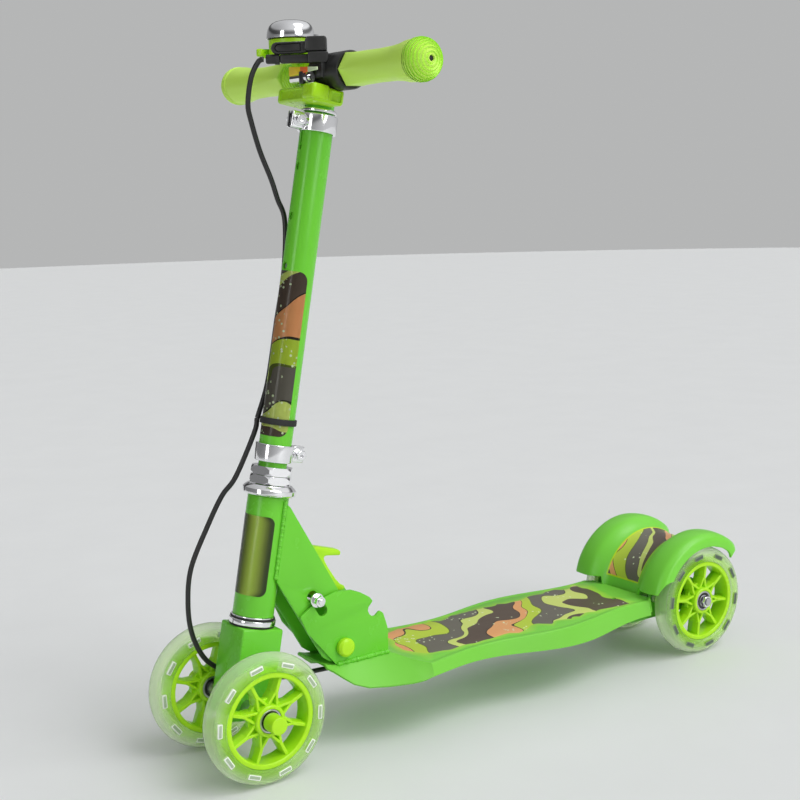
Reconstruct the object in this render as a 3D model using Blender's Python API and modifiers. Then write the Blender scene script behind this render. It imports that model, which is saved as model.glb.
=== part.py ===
"""Folding four-wheel scooter with a height-adjustable handlebar.

The scooter stands on z = 0 with its origin midway between the axles. +X is the
rider's left, -Y is forward and +Z is up. Sizes below are millimetres.
"""

import math

import bmesh
import bpy
from mathutils import Matrix, Vector

MM = 0.001
GAP = 0.3

# Wheels and axles
WHEEL_RADIUS = 60.0
TYRE_HALF_WIDTH = 11.5
TYRE_SHOULDER = 10.5
TYRE_BORE = 44.0
RIM_BORE = 39.0
RIM_HALF_WIDTH = 10.0
WEB_HALF_WIDTH = 7.5
HUB_RADIUS = 14.5
HUB_BORE = 11.0
HUB_HALF_WIDTH = 10.5
SPOKES = 8
SPOKE_HALF_WIDTH = 2.3
FRONT_SPOKE_PHASE = 25.0
REAR_SPOKE_PHASE = 36.0
WHEELBASE = 552.4
FRONT_WHEEL_X = 54.0
REAR_WHEEL_X = 54.5
AXLE_RADIUS = 4.0
SPACER_RADIUS = 7.0
NUT_RADIUS = 6.4
CAP_RADIUS = 8.5
FRONT_CAP_END = 80.0

# Steering column, as depths along the stem axis from its foot
STEM_FOOT = (0.0, -255.5, 131.9)
RAKE = 11.28
TRUCK_TOP = -3.4
TRUCK_BOTTOM = -88.0
TRUCK_HALF_WIDTH = 21.0
TRUCK_FRONT = -20.2
TRUCK_REAR = 22.0
STEERER_RADIUS = 13.2
HEAD_RADIUS = 19.0
HEAD_BOTTOM = 6.5
HEAD_TOP = 117.0
LOWER_RACE_RADIUS = 21.5
UPPER_CUP_RADIUS = 25.0
HEADSET_NUT_RADIUS = 21.0
HEADSET_NUT_TURN = -37.0
UPRIGHT_RADIUS = 15.0
UPRIGHT_BORE = 13.5
UPRIGHT_BOTTOM = 149.0
UPRIGHT_TOP = 465.0
HOLE_DEPTHS = (326.3, 371.4, 416.6)
HOLE_RADIUS = 3.5
SLIT_DEPTH = 434.0
CLAMP_RADIUS = 17.8
BAND_RADIUS = 16.8
CLAMP_HEIGHT = 16.0
LOWER_CLAMP_DEPTH = 148.5
TOP_CLAMP_DEPTH = 448.5

# Handlebar
INNER_TUBE_RADIUS = 13.2
INNER_TUBE_BOTTOM = 292.0
INNER_TUBE_TOP = 482.5
BAR_CENTRE = (0.0, -159.9, 624.6)
BAR_RADIUS = 11.0
BAR_HALF_LENGTH = 158.0
GRIP_START = 51.5
GRIP_END = 167.0
BELL_CENTRE = (-28.0, -174.0, 641.0)
BELL_RADIUS = 22.0
BELL_BASE_TOP = 16.6
BELL_BAND_RADIUS = 14.4
PERCH_RADIUS = 17.0
CLAMP_END = 50.5
PINCH_BOLT = (0.0, -183.5, 620.0)
LEVER_PIVOT = (21.0, -176.0, 642.0)
LEVER_REACH = 41.0
LEVER_HEADING = -125.3

# Fold joint
PIVOT = (0.0, -171.7, 95.1)
PIVOT_RADIUS = 5.0
CHEEK_INNER = 21.3
CHEEK_OUTER = 24.0
NECK_INNER = 17.0
NECK_OUTER = 20.0
NECK_LEAN = 29.4
LOCKED_RADIUS = 45.4
RAISED_RADIUS = 58.9
LOCK_BOLT_RADIUS = 3.0

# Deck
DECK_TOP = 71.5
DECK_FRONT = -193.0
DECK_REAR = 212.0
DECK_THICKNESS = 2.0
NOSE_TOP = 79.0
NOSE_HALF_WIDTH = 24.5
BRACKET_INNER = 37.5
BRACKET_OUTER = 40.0

# Fender
FENDER_THICKNESS = 2.75
FENDER_TAIL = 40.0
FENDER_FRONT = 175.0
FENDER_PIN = (0.0, 223.0, 68.0)
PAD_CLEARANCE = 3.0

# Brake cable
CABLE_RADIUS = 2.4

PARTS = None
CUTTERS = None

SIDE = Matrix(((0, 0, 1, 0), (1, 0, 0, 0), (0, 1, 0, 0), (0, 0, 0, 1)))


def clear_scene():
    """Remove every object of the scene that the script starts in."""
    for obj in list(bpy.data.objects):
        bpy.data.objects.remove(obj, do_unlink=True)


def new_collection(name):
    collection = bpy.data.collections.new(name)
    bpy.context.scene.collection.children.link(collection)
    return collection


def finish_of(name, colour, roughness, metallic=0.0):
    """Return a plain Principled material."""
    material = bpy.data.materials.new(name)
    material.use_nodes = True
    shader = material.node_tree.nodes["Principled BSDF"]
    shader.inputs["Base Color"].default_value = (*colour, 1.0)
    shader.inputs["Roughness"].default_value = roughness
    shader.inputs["Metallic"].default_value = metallic
    material.diffuse_color = (*colour, 1.0)
    return material


def at(point, basis=None):
    """Return the matrix of a place in millimetres, turned by an optional basis."""
    place = Matrix.Translation(Vector(point) * MM)
    return place @ basis if basis else place


def turn(degrees, axis):
    return Matrix.Rotation(math.radians(degrees), 4, axis)


STEM = at(STEM_FOOT, turn(-RAKE, "X"))
NECK = at(PIVOT, turn(NECK_LEAN, "X") @ SIDE)


def stem_point(x, rear, depth):
    """Return the world place, in millimetres, of a point given in the stem's frame."""
    return tuple(STEM @ (Vector((x, rear, depth)) * MM) / MM)


def neck_point(rear, rise, x=0.0):
    """Return the world place, in millimetres, of a point given in the neck's frame."""
    return tuple(NECK @ (Vector((rear, rise, x)) * MM) / MM)


def about_pivot(radius, bearing):
    """Return (y, z) at a radius and a bearing from vertical around the fold pivot."""
    angle = math.radians(bearing)
    return (PIVOT[1] + radius * math.sin(angle), PIVOT[2] + radius * math.cos(angle))


def arc(radius, start, stop, steps, centre=(0.0, 0.0)):
    """Return points on an arc, with angles in degrees."""
    angles = [math.radians(start + (stop - start) * i / steps) for i in range(steps + 1)]
    return [(centre[0] + radius * math.cos(a), centre[1] + radius * math.sin(a)) for a in angles]


def mesh_object(name, bm, frame):
    mesh = bpy.data.meshes.new(name)
    bm.to_mesh(mesh)
    bm.free()
    obj = bpy.data.objects.new(name, mesh)
    CUTTERS.objects.link(obj)
    obj.matrix_world = frame
    obj.hide_render = True
    obj.display_type = "WIRE"
    return obj


def lathe(name, profile, frame, steps=24, ring=False, angle=360.0, offset=0.0):
    """Turn a profile of (radius, height) points around the frame's Z axis."""
    bm = bmesh.new()
    start = turn(offset, "Z")
    points = [bm.verts.new(start @ (Vector((r, 0, z)) * MM)) for r, z in profile]
    pairs = list(zip(points, points[1:]))
    if ring:
        pairs.append((points[-1], points[0]))
    for pair in pairs:
        bm.edges.new(pair)
    obj = mesh_object(name, bm, frame)
    screw = obj.modifiers.new("Turn", "SCREW")
    screw.angle = math.radians(angle)
    screw.steps = steps
    screw.render_steps = steps
    screw.use_merge_vertices = angle == 360.0
    screw.merge_threshold = 0.00001
    return obj


def disc(name, radius, bottom, top, frame, steps=16):
    """Make a solid cylinder along the frame's Z axis."""
    return lathe(name, [(0, top), (radius, top), (radius, bottom), (0, bottom)], frame, steps)


def pipe(name, outer, inner, bottom, top, frame, steps=24):
    """Make a tube along the frame's Z axis."""
    profile = [(outer, top), (outer, bottom), (inner, bottom), (inner, top)]
    return lathe(name, profile, frame, steps, ring=True)


def box(name, low, high, frame=None, bevel=0.0):
    """Make a box between two corners given in millimetres."""
    bm = bmesh.new()
    bmesh.ops.create_cube(bm, size=1.0)
    size = Vector(high) - Vector(low)
    centre = (Vector(high) + Vector(low)) / 2
    bmesh.ops.scale(bm, vec=size * MM, verts=bm.verts)
    bmesh.ops.translate(bm, vec=centre * MM, verts=bm.verts)
    obj = mesh_object(name, bm, frame or Matrix.Identity(4))
    if bevel:
        rounding = obj.modifiers.new("Edges", "BEVEL")
        rounding.width = bevel * MM
        rounding.segments = 2
    return obj


def solid_from_curve(name, curve, frame):
    """Turn a curve into a welded mesh object and remove the curve."""
    rough = bpy.data.objects.new(name + "_curve", curve)
    CUTTERS.objects.link(rough)
    rough.matrix_world = frame
    bpy.context.view_layer.update()
    evaluated = rough.evaluated_get(bpy.context.evaluated_depsgraph_get())
    mesh = bpy.data.meshes.new_from_object(evaluated)
    bm = bmesh.new()
    bm.from_mesh(mesh)
    bmesh.ops.remove_doubles(bm, verts=bm.verts, dist=0.00001)
    bmesh.ops.recalc_face_normals(bm, faces=bm.faces)
    bpy.data.meshes.remove(mesh)
    obj = mesh_object(name, bm, frame)
    bpy.data.objects.remove(rough, do_unlink=True)
    return obj


def plate(name, outlines, thickness, frame):
    """Extrude flat outlines, the later ones as holes, by half the thickness each way."""
    curve = bpy.data.curves.new(name, "CURVE")
    curve.dimensions = "2D"
    curve.fill_mode = "BOTH"
    curve.extrude = thickness * MM / 2
    for outline in outlines:
        spline = curve.splines.new("POLY")
        spline.points.add(len(outline) - 1)
        for point, (x, y) in zip(spline.points, outline):
            point.co = (x * MM, y * MM, 0, 1)
        spline.use_cyclic_u = True
    return solid_from_curve(name, curve, frame)


def smooth_route(points, step):
    """Return evenly spaced points on a Catmull-Rom curve through the given ones."""
    ends = [points[0] * 2 - points[1], *points, points[-1] * 2 - points[-2]]
    dense = []
    for a, b, c, d in zip(ends, ends[1:], ends[2:], ends[3:]):
        for i in range(24):
            t = i / 24
            cubic = (b * 3 - a - c * 3 + d) * t**3
            square = (a * 2 - b * 5 + c * 4 - d) * t**2
            dense.append((b * 2 + (c - a) * t + square + cubic) / 2)
    dense.append(points[-1])
    total = sum((q - p).length for p, q in zip(dense, dense[1:]))
    count = max(2, round(total / step))
    route = [dense[0]]
    travelled = 0.0
    for p, q in zip(dense, dense[1:]):
        travelled += (q - p).length
        if travelled >= total * len(route) / count and len(route) < count:
            route.append(q)
    route.append(dense[-1])
    return route


def cable(name, points, radius, step=12.0):
    """Lay a round cable through points given in millimetres."""
    curve = bpy.data.curves.new(name, "CURVE")
    curve.dimensions = "3D"
    curve.bevel_depth = radius * MM
    curve.bevel_resolution = 2
    curve.use_fill_caps = True
    spline = curve.splines.new("POLY")
    route = smooth_route([Vector(p) for p in points], step)
    spline.points.add(len(route) - 1)
    for point, place in zip(spline.points, route):
        point.co = (*(place * MM), 1)
    return solid_from_curve(name, curve, Matrix.Identity(4))


def combine(target, others, operation):
    for other in others:
        modifier = target.modifiers.new(other.name, "BOOLEAN")
        modifier.operation = operation
        modifier.solver = "EXACT"
        modifier.object = other
    return target


def cut(target, *cutters):
    return combine(target, cutters, "DIFFERENCE")


def join(target, *others):
    return combine(target, others, "UNION")


def baked(obj):
    """Return the object's evaluated mesh, for several objects to share."""
    bpy.context.view_layer.update()
    evaluated = obj.evaluated_get(bpy.context.evaluated_depsgraph_get())
    return bpy.data.meshes.new_from_object(evaluated)


def pivot_empty(name, frame, parent=None):
    """Make an empty on a joint's axis."""
    empty = bpy.data.objects.new(name, None)
    PARTS.objects.link(empty)
    empty.empty_display_size = 0.02
    empty.matrix_world = frame
    bpy.context.view_layer.update()
    attach(empty, parent)
    return empty


def attach(obj, parent):
    """Parent an object without moving it."""
    if parent:
        obj.parent = parent
        obj.matrix_parent_inverse = parent.matrix_world.inverted()


def keep(obj, parent, material):
    """Move a finished piece to the scooter's collection."""
    CUTTERS.objects.unlink(obj)
    PARTS.objects.link(obj)
    obj.hide_render = False
    obj.display_type = "TEXTURED"
    obj.data.materials.clear()
    obj.data.materials.append(material)
    attach(obj, parent)
    obj.data.shade_smooth()
    obj.data.set_sharp_from_angle(angle=math.radians(35))
    return obj


def tyre_profile():
    """Return the tyre's section as (radius, height), outer side from top to bottom."""
    flat = TYRE_HALF_WIDTH - TYRE_SHOULDER
    upper = arc(TYRE_SHOULDER, 90, 0, 4, (WHEEL_RADIUS - TYRE_SHOULDER, flat))
    lower = [(r, -z) for r, z in reversed(upper)]
    return upper + lower + [(TYRE_BORE, -TYRE_HALF_WIDTH), (TYRE_BORE, TYRE_HALF_WIDTH)]


def spoke_window(index, phase):
    """Return the opening between two spokes."""
    start = phase + index * 360 / SPOKES
    stop = start + 360 / SPOKES
    outer = RIM_BORE + 0.6
    inner = HUB_RADIUS + 2.5
    far = math.degrees(math.asin(SPOKE_HALF_WIDTH / outer))
    near = math.degrees(math.asin(SPOKE_HALF_WIDTH / inner))
    return arc(outer, start + far, stop - far, 3) + arc(inner, stop - near, start + near, 1)


def wheel_core(name, phase):
    """Return the mesh of a spoked core."""
    windows = [spoke_window(i, phase) for i in range(SPOKES)]
    outlines = [arc(RIM_BORE + 2, 0, 348.75, 31), arc(HUB_BORE + 1, 0, 337.5, 15), *windows]
    core = plate(name + "_web", outlines, 2 * WEB_HALF_WIDTH, Matrix.Identity(4))
    rim = pipe(
        name + "_rim", TYRE_BORE - GAP, RIM_BORE, -RIM_HALF_WIDTH, RIM_HALF_WIDTH, Matrix.Identity(4), 32
    )
    hub = pipe(
        name + "_hub", HUB_RADIUS, HUB_BORE, -HUB_HALF_WIDTH, HUB_HALF_WIDTH, Matrix.Identity(4), 16
    )
    return baked(join(core, rim, hub))


def bearing_profile():
    """Return the section of two ball bearings with the sleeve between them."""
    outer = HUB_BORE - GAP
    bore = AXLE_RADIUS + GAP
    face = HUB_HALF_WIDTH - 0.2
    inside = face - 7.0
    sleeve = bore + 2.0
    return [
        (outer, face), (outer, inside), (sleeve, inside), (sleeve, -inside),
        (outer, -inside), (outer, -face), (bore, -face), (bore, face),
    ]


def build_wheels(finishes, front_parent, rear_parent):
    """Make the four wheels, each on an empty at its centre."""
    tyre = baked(lathe("tyre_shape", tyre_profile(), Matrix.Identity(4), 32, ring=True))
    bearing = baked(lathe("bearing_shape", bearing_profile(), Matrix.Identity(4), 12, ring=True))
    phases = {"front": FRONT_SPOKE_PHASE, "rear": REAR_SPOKE_PHASE}
    cores = {pair: wheel_core(pair, phase) for pair, phase in phases.items()}
    places = {
        "front_left": (FRONT_WHEEL_X, -WHEELBASE / 2, front_parent),
        "front_right": (-FRONT_WHEEL_X, -WHEELBASE / 2, front_parent),
        "rear_left": (REAR_WHEEL_X, WHEELBASE / 2, rear_parent),
        "rear_right": (-REAR_WHEEL_X, WHEELBASE / 2, rear_parent),
    }
    for corner, (x, y, parent) in places.items():
        frame = at((x, y, WHEEL_RADIUS), SIDE)
        spin = pivot_empty(corner + "_axis", frame, parent)
        pieces = (
            ("tyre", tyre, finishes["clear"]),
            ("core", cores[corner.split("_")[0]], finishes["lime"]),
            ("bearings", bearing, finishes["chrome"]),
        )
        for kind, mesh, material in pieces:
            obj = bpy.data.objects.new(f"{corner}_{kind}", mesh)
            CUTTERS.objects.link(obj)
            obj.matrix_world = frame
            keep(obj, spin, material)


def both_ways(half):
    """Return a symmetric shaft's profile, from +Z down to -Z, from its upper half."""
    return half + [(r, -z) for r, z in reversed(half)]


def build_front_axle(finishes, parent):
    """Make the front axle with its spacers and nuts, and the two caps."""
    inner_face = FRONT_WHEEL_X - HUB_HALF_WIDTH - GAP
    outer_face = FRONT_WHEEL_X + HUB_HALF_WIDTH + GAP
    frame = at((0, -WHEELBASE / 2, WHEEL_RADIUS), SIDE)
    half = [
        (0, outer_face + 9), (AXLE_RADIUS, outer_face + 9), (AXLE_RADIUS, outer_face + 6.5),
        (NUT_RADIUS, outer_face + 6.5), (NUT_RADIUS, outer_face), (AXLE_RADIUS, outer_face),
        (AXLE_RADIUS, inner_face), (SPACER_RADIUS, inner_face),
        (SPACER_RADIUS, TRUCK_HALF_WIDTH + GAP), (AXLE_RADIUS, TRUCK_HALF_WIDTH + GAP),
    ]
    keep(lathe("front_axle", both_ways(half), frame, 12), parent, finishes["steel"])
    bore = NUT_RADIUS + GAP
    profile = [
        (0, FRONT_CAP_END), (CAP_RADIUS - 1, FRONT_CAP_END), (CAP_RADIUS, FRONT_CAP_END - 1),
        (CAP_RADIUS, outer_face + GAP), (bore, outer_face + GAP),
        (bore, outer_face + 10), (0, outer_face + 10),
    ]
    for side, basis in (("left", SIDE), ("right", turn(180, "Z") @ SIDE)):
        cap = lathe(side + "_axle_cap", profile, at((0, -WHEELBASE / 2, WHEEL_RADIUS), basis), 16)
        keep(cap, parent, finishes["lime"])


def build_rear_axle(finishes, parent):
    """Make the rear axle, its spacers in one piece with it, and the two nuts."""
    inner_face = REAR_WHEEL_X - HUB_HALF_WIDTH - GAP
    outer_face = REAR_WHEEL_X + HUB_HALF_WIDTH + GAP
    frame = at((0, WHEELBASE / 2, WHEEL_RADIUS), SIDE)
    half = [
        (0, outer_face + 6.5), (AXLE_RADIUS, outer_face + 6.5), (AXLE_RADIUS, inner_face),
        (SPACER_RADIUS, inner_face), (SPACER_RADIUS, BRACKET_OUTER + GAP),
        (AXLE_RADIUS, BRACKET_OUTER + GAP),
    ]
    keep(lathe("rear_axle", both_ways(half), frame, 12), parent, finishes["steel"])
    hexagon_bore = (AXLE_RADIUS + GAP) / math.cos(math.pi / 6)
    for side, sign in (("left", 1), ("right", -1)):
        low, high = sorted((sign * outer_face, sign * (outer_face + 5)))
        nut = pipe(side + "_axle_nut", NUT_RADIUS, hexagon_bore, low, high, frame, 6)
        keep(nut, parent, finishes["chrome"])


def build_truck(finishes, parent):
    """Make the truck box with the steerer on top, joined as one weldment."""
    truck = box(
        "front_truck",
        (-TRUCK_HALF_WIDTH, TRUCK_FRONT, TRUCK_BOTTOM),
        (TRUCK_HALF_WIDTH, TRUCK_REAR, TRUCK_TOP), STEM, 2.0,
    )
    wall = 3.0
    hollow = box(
        "truck_hollow",
        (-TRUCK_HALF_WIDTH + wall, TRUCK_FRONT + wall, TRUCK_BOTTOM - 5),
        (TRUCK_HALF_WIDTH - wall, TRUCK_REAR - wall, TRUCK_TOP - wall), STEM,
    )
    bore = disc(
        "truck_bore", AXLE_RADIUS + GAP, -30, 30, at((0, -WHEELBASE / 2, WHEEL_RADIUS), SIDE), 16
    )
    steerer = pipe("steerer", STEERER_RADIUS, STEERER_RADIUS - 2.2, TRUCK_TOP - 1, 200, STEM, 20)
    keep(join(cut(truck, hollow, bore), steerer), parent, finishes["green"])


def build_headset(finishes, neck, steering):
    """Make the head tube and its seats on the neck, and the two nuts on the steerer."""
    clear = STEERER_RADIUS + GAP
    keep(
        pipe("head_tube", HEAD_RADIUS, HEAD_RADIUS - 2.5, HEAD_BOTTOM, HEAD_TOP, STEM),
        neck, finishes["green"],
    )
    lower = [
        (LOWER_RACE_RADIUS - 0.8, 4.0), (LOWER_RACE_RADIUS, 3.2), (LOWER_RACE_RADIUS, TRUCK_TOP + 1.2),
        (LOWER_RACE_RADIUS - 0.8, TRUCK_TOP + GAP), (clear, TRUCK_TOP + GAP), (clear, 20.0),
        (HEAD_RADIUS - 2.8, 20.0), (HEAD_RADIUS - 2.8, HEAD_BOTTOM - GAP),
        (HEAD_RADIUS, HEAD_BOTTOM - GAP), (HEAD_RADIUS, 4.0),
    ]
    keep(lathe("lower_bearing", lower, STEM, ring=True), neck, finishes["chrome"])
    upper = [
        (21.0, 127.5), (UPPER_CUP_RADIUS - 1.5, 124.0), (UPPER_CUP_RADIUS, 122.5),
        (UPPER_CUP_RADIUS, 119.5), (UPPER_CUP_RADIUS - 1.5, 118.0), (20.5, 117.3),
        (16.2, 117.3), (16.2, 107.0), (clear, 107.0), (clear, 127.5),
    ]
    keep(lathe("upper_bearing", upper, STEM, ring=True), neck, finishes["chrome"])
    bore = clear / math.cos(math.pi / 6)
    nut_frame = STEM @ turn(HEADSET_NUT_TURN, "Z")
    for name, bottom, top in (("adjusting_nut", 128.0, 135.8), ("lock_nut", 136.1, 144.0)):
        nut = pipe(name, HEADSET_NUT_RADIUS, bore, bottom, top, nut_frame, 6)
        keep(nut, steering, finishes["chrome"])


def button_holes(name, depths, reach):
    """Return cutters for the round height holes, which face forward."""
    forward = turn(90, "X")
    return [
        disc(f"{name}_{i}", HOLE_RADIUS, 4, reach, STEM @ at((0, 0, depth), forward), 12)
        for i, depth in enumerate(depths)
    ]


def build_upright(finishes, parent):
    """Make the upright with its holes and the slit that its top clamp closes."""
    upright = pipe(
        "upright_tube", UPRIGHT_RADIUS, UPRIGHT_BORE, UPRIGHT_BOTTOM, UPRIGHT_TOP, STEM, 24
    )
    slit = box("slit", (-1.2, -20, SLIT_DEPTH), (1.2, -6, UPRIGHT_TOP + 5), STEM)
    slit_end = disc("slit_end", 2.6, 6, 20, STEM @ at((0, 0, SLIT_DEPTH), turn(90, "X")), 12)
    keep(
        cut(upright, slit, slit_end, *button_holes("height_hole", HOLE_DEPTHS, 20)),
        parent, finishes["green"],
    )
    band = lathe(
        "cable_band",
        [(BAND_RADIUS, 188), (BAND_RADIUS, 182.5), (15.3, 182.5), (15.3, 188)],
        STEM, 20, ring=True,
    )
    keep(band, parent, finishes["rubber"])


def build_clamp(finishes, parent, name, depth, side):
    """Make a slit clamp band whose two ears point to one side, and its cross bolt."""
    top = depth + CLAMP_HEIGHT
    band = pipe(name, CLAMP_RADIUS, UPRIGHT_RADIUS + GAP, depth, top, STEM, 24)
    low, high = sorted((side * 16.5, side * 29.5))
    ears = box(name + "_ears", (-4.5, low, depth + 0.5), (4.5, high, top - 0.5), STEM, 1.0)
    low, high = sorted((side * 10.0, side * 35.0))
    slot = box(name + "_slot", (-1.4, low, depth - 3), (1.4, high, top + 3), STEM)
    middle = depth + CLAMP_HEIGHT / 2
    bolt_frame = STEM @ at((0, side * 23.2, middle), SIDE)
    bore = disc(name + "_bore", 2.8, -10, 10, bolt_frame, 12)
    keep(cut(join(band, ears), slot, bore), parent, finishes["chrome"])
    bolt = [
        (0, 12.5), (2.4, 12.5), (2.4, 11), (5.0, 11), (5.0, 7.2), (5.6, 7.2), (5.6, 4.9),
        (2.4, 4.9), (2.4, -4.9), (5.0, -4.9), (5.0, -9.0), (0, -9.0),
    ]
    keep(lathe(name + "_bolt", bolt, bolt_frame, 12), parent, finishes["chrome"])


def cheek_outline():
    """Return the fold plate's side view, with the second lock notch in its rear rim."""
    rim = [
        (60.1, -51), (56.8, -37), (55.3, -22), (55.1, -7), (54.2, 11), (52.9, 23), (52.3, 36),
        (51.1, 42.5), (43.6, 42), (40.6, 44.5), (39.4, 50), (40.2, 55.5), (43.0, 58.5),
        (49.8, 57.5), (51.6, 63), (51.0, 75), (51.4, 82),
    ]
    points = [about_pivot(radius, bearing) for radius, bearing in rim]
    foot = NOSE_TOP + GAP
    return points + [(-121.0, foot), (-181.0, foot + 0.3), (-210.6, 115.6)]


def build_cheeks(finishes, parent):
    """Make the two fold plates that stand on the deck's nose."""
    middle = (CHEEK_INNER + CHEEK_OUTER) / 2
    for side, sign in (("left", 1), ("right", -1)):
        frame = at((sign * middle, 0, 0), SIDE)
        cheek = plate(side + "_cheek", [cheek_outline()], CHEEK_OUTER - CHEEK_INNER, frame)
        bore = disc(side + "_cheek_bore", PIVOT_RADIUS + GAP, -30, 30, at(PIVOT, SIDE), 16)
        slot_end = disc(
            side + "_notch_end", 5.3, -30, 30, at(neck_point(0, LOCKED_RADIUS), SIDE), 12
        )
        slot = box(
            side + "_notch", (-5.3, LOCKED_RADIUS, -30), (5.3, LOCKED_RADIUS + 25, 30), NECK
        )
        keep(cut(cheek, bore, slot_end, slot), parent, finishes["green"])


def build_pivot(finishes, parent):
    """Make the bolt that the stem folds about and the caps over its ends."""
    end = CHEEK_OUTER + 4.5
    bolt = [
        (0, end), (NUT_RADIUS, end), (NUT_RADIUS, CHEEK_OUTER + GAP),
        (PIVOT_RADIUS, CHEEK_OUTER + GAP),
    ]
    keep(lathe("pivot_bolt", both_ways(bolt), at(PIVOT, SIDE), 16), parent, finishes["steel"])
    cap = [
        (0, 31.5), (6.0, 31.2), (8.3, 30.0), (9.0, 28.5), (9.0, CHEEK_OUTER + GAP),
        (NUT_RADIUS + GAP, CHEEK_OUTER + GAP), (NUT_RADIUS + GAP, end + GAP), (0, end + GAP),
    ]
    for side, basis in (("left", SIDE), ("right", turn(180, "Z") @ SIDE)):
        keep(lathe(side + "_pivot_cap", cap, at(PIVOT, basis), 20), parent, finishes["lime"])


def neck_outline():
    """Return the neck plate's side view as (rear, rise) around the fold pivot."""
    foot = arc(15.3, -150, -30, 8)
    to_neck = NECK.inverted()
    tube_edge = [
        tuple((to_neck @ (Vector(stem_point(0, 9.0, depth)) * MM) / MM)[:2]) for depth in (114.0, 40.0)
    ]
    rear_edge = [(18.5, 4), (24.0, 16), (25.5, 24), (25.5, 150)]
    return foot + rear_edge + tube_edge + [(-22.0, 95), (-22.0, 4), (-18.5, -4)]


def build_neck(finishes, parent):
    """Make the neck: two side plates, a rear web, a pivot sleeve and a cross wall."""
    wall = NECK_OUTER - NECK_INNER
    middle = (NECK_OUTER + NECK_INNER) / 2
    sides = [
        plate(f"neck_side_{i}", [neck_outline()], wall, NECK @ at((0, 0, x)))
        for i, x in enumerate((middle, -middle))
    ]
    web = box("neck_frame", (22.5, 22, -NECK_INNER - 0.5), (25.5, 148, NECK_INNER + 0.5), NECK)
    window = box("lever_window", (15, 30.5, -6.5), (30, 94, 6.5), NECK)
    sleeve = pipe("neck_sleeve", 8.5, PIVOT_RADIUS + GAP, -18, 18, at(PIVOT, SIDE), 16)
    bore = disc("neck_bore", PIVOT_RADIUS + GAP, -30, 30, at(PIVOT, SIDE), 16)
    head = disc("head_clearance", HEAD_RADIUS + GAP + 0.2, 0, 130, STEM, 24)
    slot = box("lock_slot", (-5.3, LOCKED_RADIUS - 6, -30), (5.3, RAISED_RADIUS + 3, 30), NECK)
    ends = [
        disc(f"lock_slot_end_{i}", 5.3, -30, 30, at(neck_point(0, rise), SIDE), 12)
        for i, rise in enumerate((LOCKED_RADIUS - 6, RAISED_RADIUS + 3))
    ]
    keep(cut(join(web, *sides, sleeve), window, bore, head, slot, *ends), parent, finishes["green"])


def build_lock(finishes, parent):
    """Make the lock bolt and the finger lever that lifts it out of its notch."""
    bolt = [
        (0, 35.0), (3.2, 35.0), (3.2, 33.0), (4.6, 33.0), (4.6, 26.5), (6.8, 26.5),
        (6.8, CHEEK_OUTER + 0.5), (LOCK_BOLT_RADIUS, CHEEK_OUTER + 0.5),
    ]
    frame = at(neck_point(0, RAISED_RADIUS), SIDE)
    keep(lathe("lock_bolt", both_ways(bolt), frame, 12), parent, finishes["chrome"])
    profile = [
        (-6.5, 53.0), (-3.0, 52.0), (3.0, 52.0), (22.0, 50.0), (28.5, 42.0), (33.5, 36.5),
        (38.0, 35.5), (38.5, 38.5), (36.0, 42.5), (34.5, 50.0), (33.8, 66.0), (34.5, 79.0), (50.5, 66.5),
        (53.0, 69.5), (51.5, 73.0), (34.5, 90.5), (30.0, 92.5), (27.5, 89.0), (27.0, 62.0),
        (22.0, 59.5), (6.5, 64.0), (-3.0, 65.8), (-6.5, 62.0),
    ]
    lever = plate("release_lever", [profile], 11.0, NECK)
    bore = disc("lever_bore", LOCK_BOLT_RADIUS + GAP, -20, 20, frame, 16)
    keep(cut(lever, bore), parent, finishes["lime"])


def deck_half_width(y):
    """Return the half width of the deck's flat top, which swells and waists along it."""
    return 56.5 + 6.5 * math.cos(2 * math.pi * (y + 126) / 205)


def flank_bottom(y):
    """Return the height of the flank's lower edge, which falls and rises again at the tail."""
    fall = min(max((y + 80) / 200, 0.0), 1.0)
    rise = min(max((y - 110) / 102, 0.0), 1.0)
    return 59.5 - 8.5 * (3 * fall**2 - 2 * fall**3) + 5.0 * (3 * rise**2 - 2 * rise**3)


def deck_stations():
    """Return (y, half top, top z, half bottom, bottom z) from the nose to the tail."""
    nose = [
        (DECK_FRONT, 24.5, 82.0, 26.5, 79.8), (-187.0, 24.5, 80.0, 30.0, 75.5),
        (-180.0, NOSE_HALF_WIDTH, NOSE_TOP, 35.0, 69.5), (-171.0, NOSE_HALF_WIDTH, NOSE_TOP, 40.0, 62.5),
        (-158.0, NOSE_HALF_WIDTH, NOSE_TOP, 46.0, 58.0), (-140.0, NOSE_HALF_WIDTH, NOSE_TOP, 54.0, 57.5),
        (-121.0, NOSE_HALF_WIDTH, NOSE_TOP, 63.0, 58.5), (-108.0, 44.0, 74.0, 66.5, 59.5),
    ]
    ys = [-96.0 + 15.0 * i for i in range(21)]
    body = [(y, deck_half_width(y), DECK_TOP, deck_half_width(y) + 4, flank_bottom(y)) for y in ys]
    tail = [(DECK_REAR, 46.0, DECK_TOP, 49.0, flank_bottom(DECK_REAR) + 1)]
    return nose + body + tail


def build_deck(finishes, parent):
    """Loft the deck's skin through its stations and give it the sheet's thickness."""
    bm = bmesh.new()
    rows = []
    for y, half_top, top, half_bottom, bottom in deck_stations():
        section = [(half_bottom, bottom), (half_top, top), (-half_top, top), (-half_bottom, bottom)]
        rows.append([bm.verts.new(Vector((x, y, z)) * MM) for x, z in section])
    for front, back in zip(rows, rows[1:]):
        for i in range(3):
            bm.faces.new((front[i], back[i], back[i + 1], front[i + 1]))
    deck = mesh_object("deck_plate", bm, Matrix.Identity(4))
    sheet = deck.modifiers.new("Sheet", "SOLIDIFY")
    sheet.thickness = DECK_THICKNESS * MM
    sheet.offset = -1.0
    sheet.use_even_offset = True
    keep(deck, parent, finishes["green"])


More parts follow.
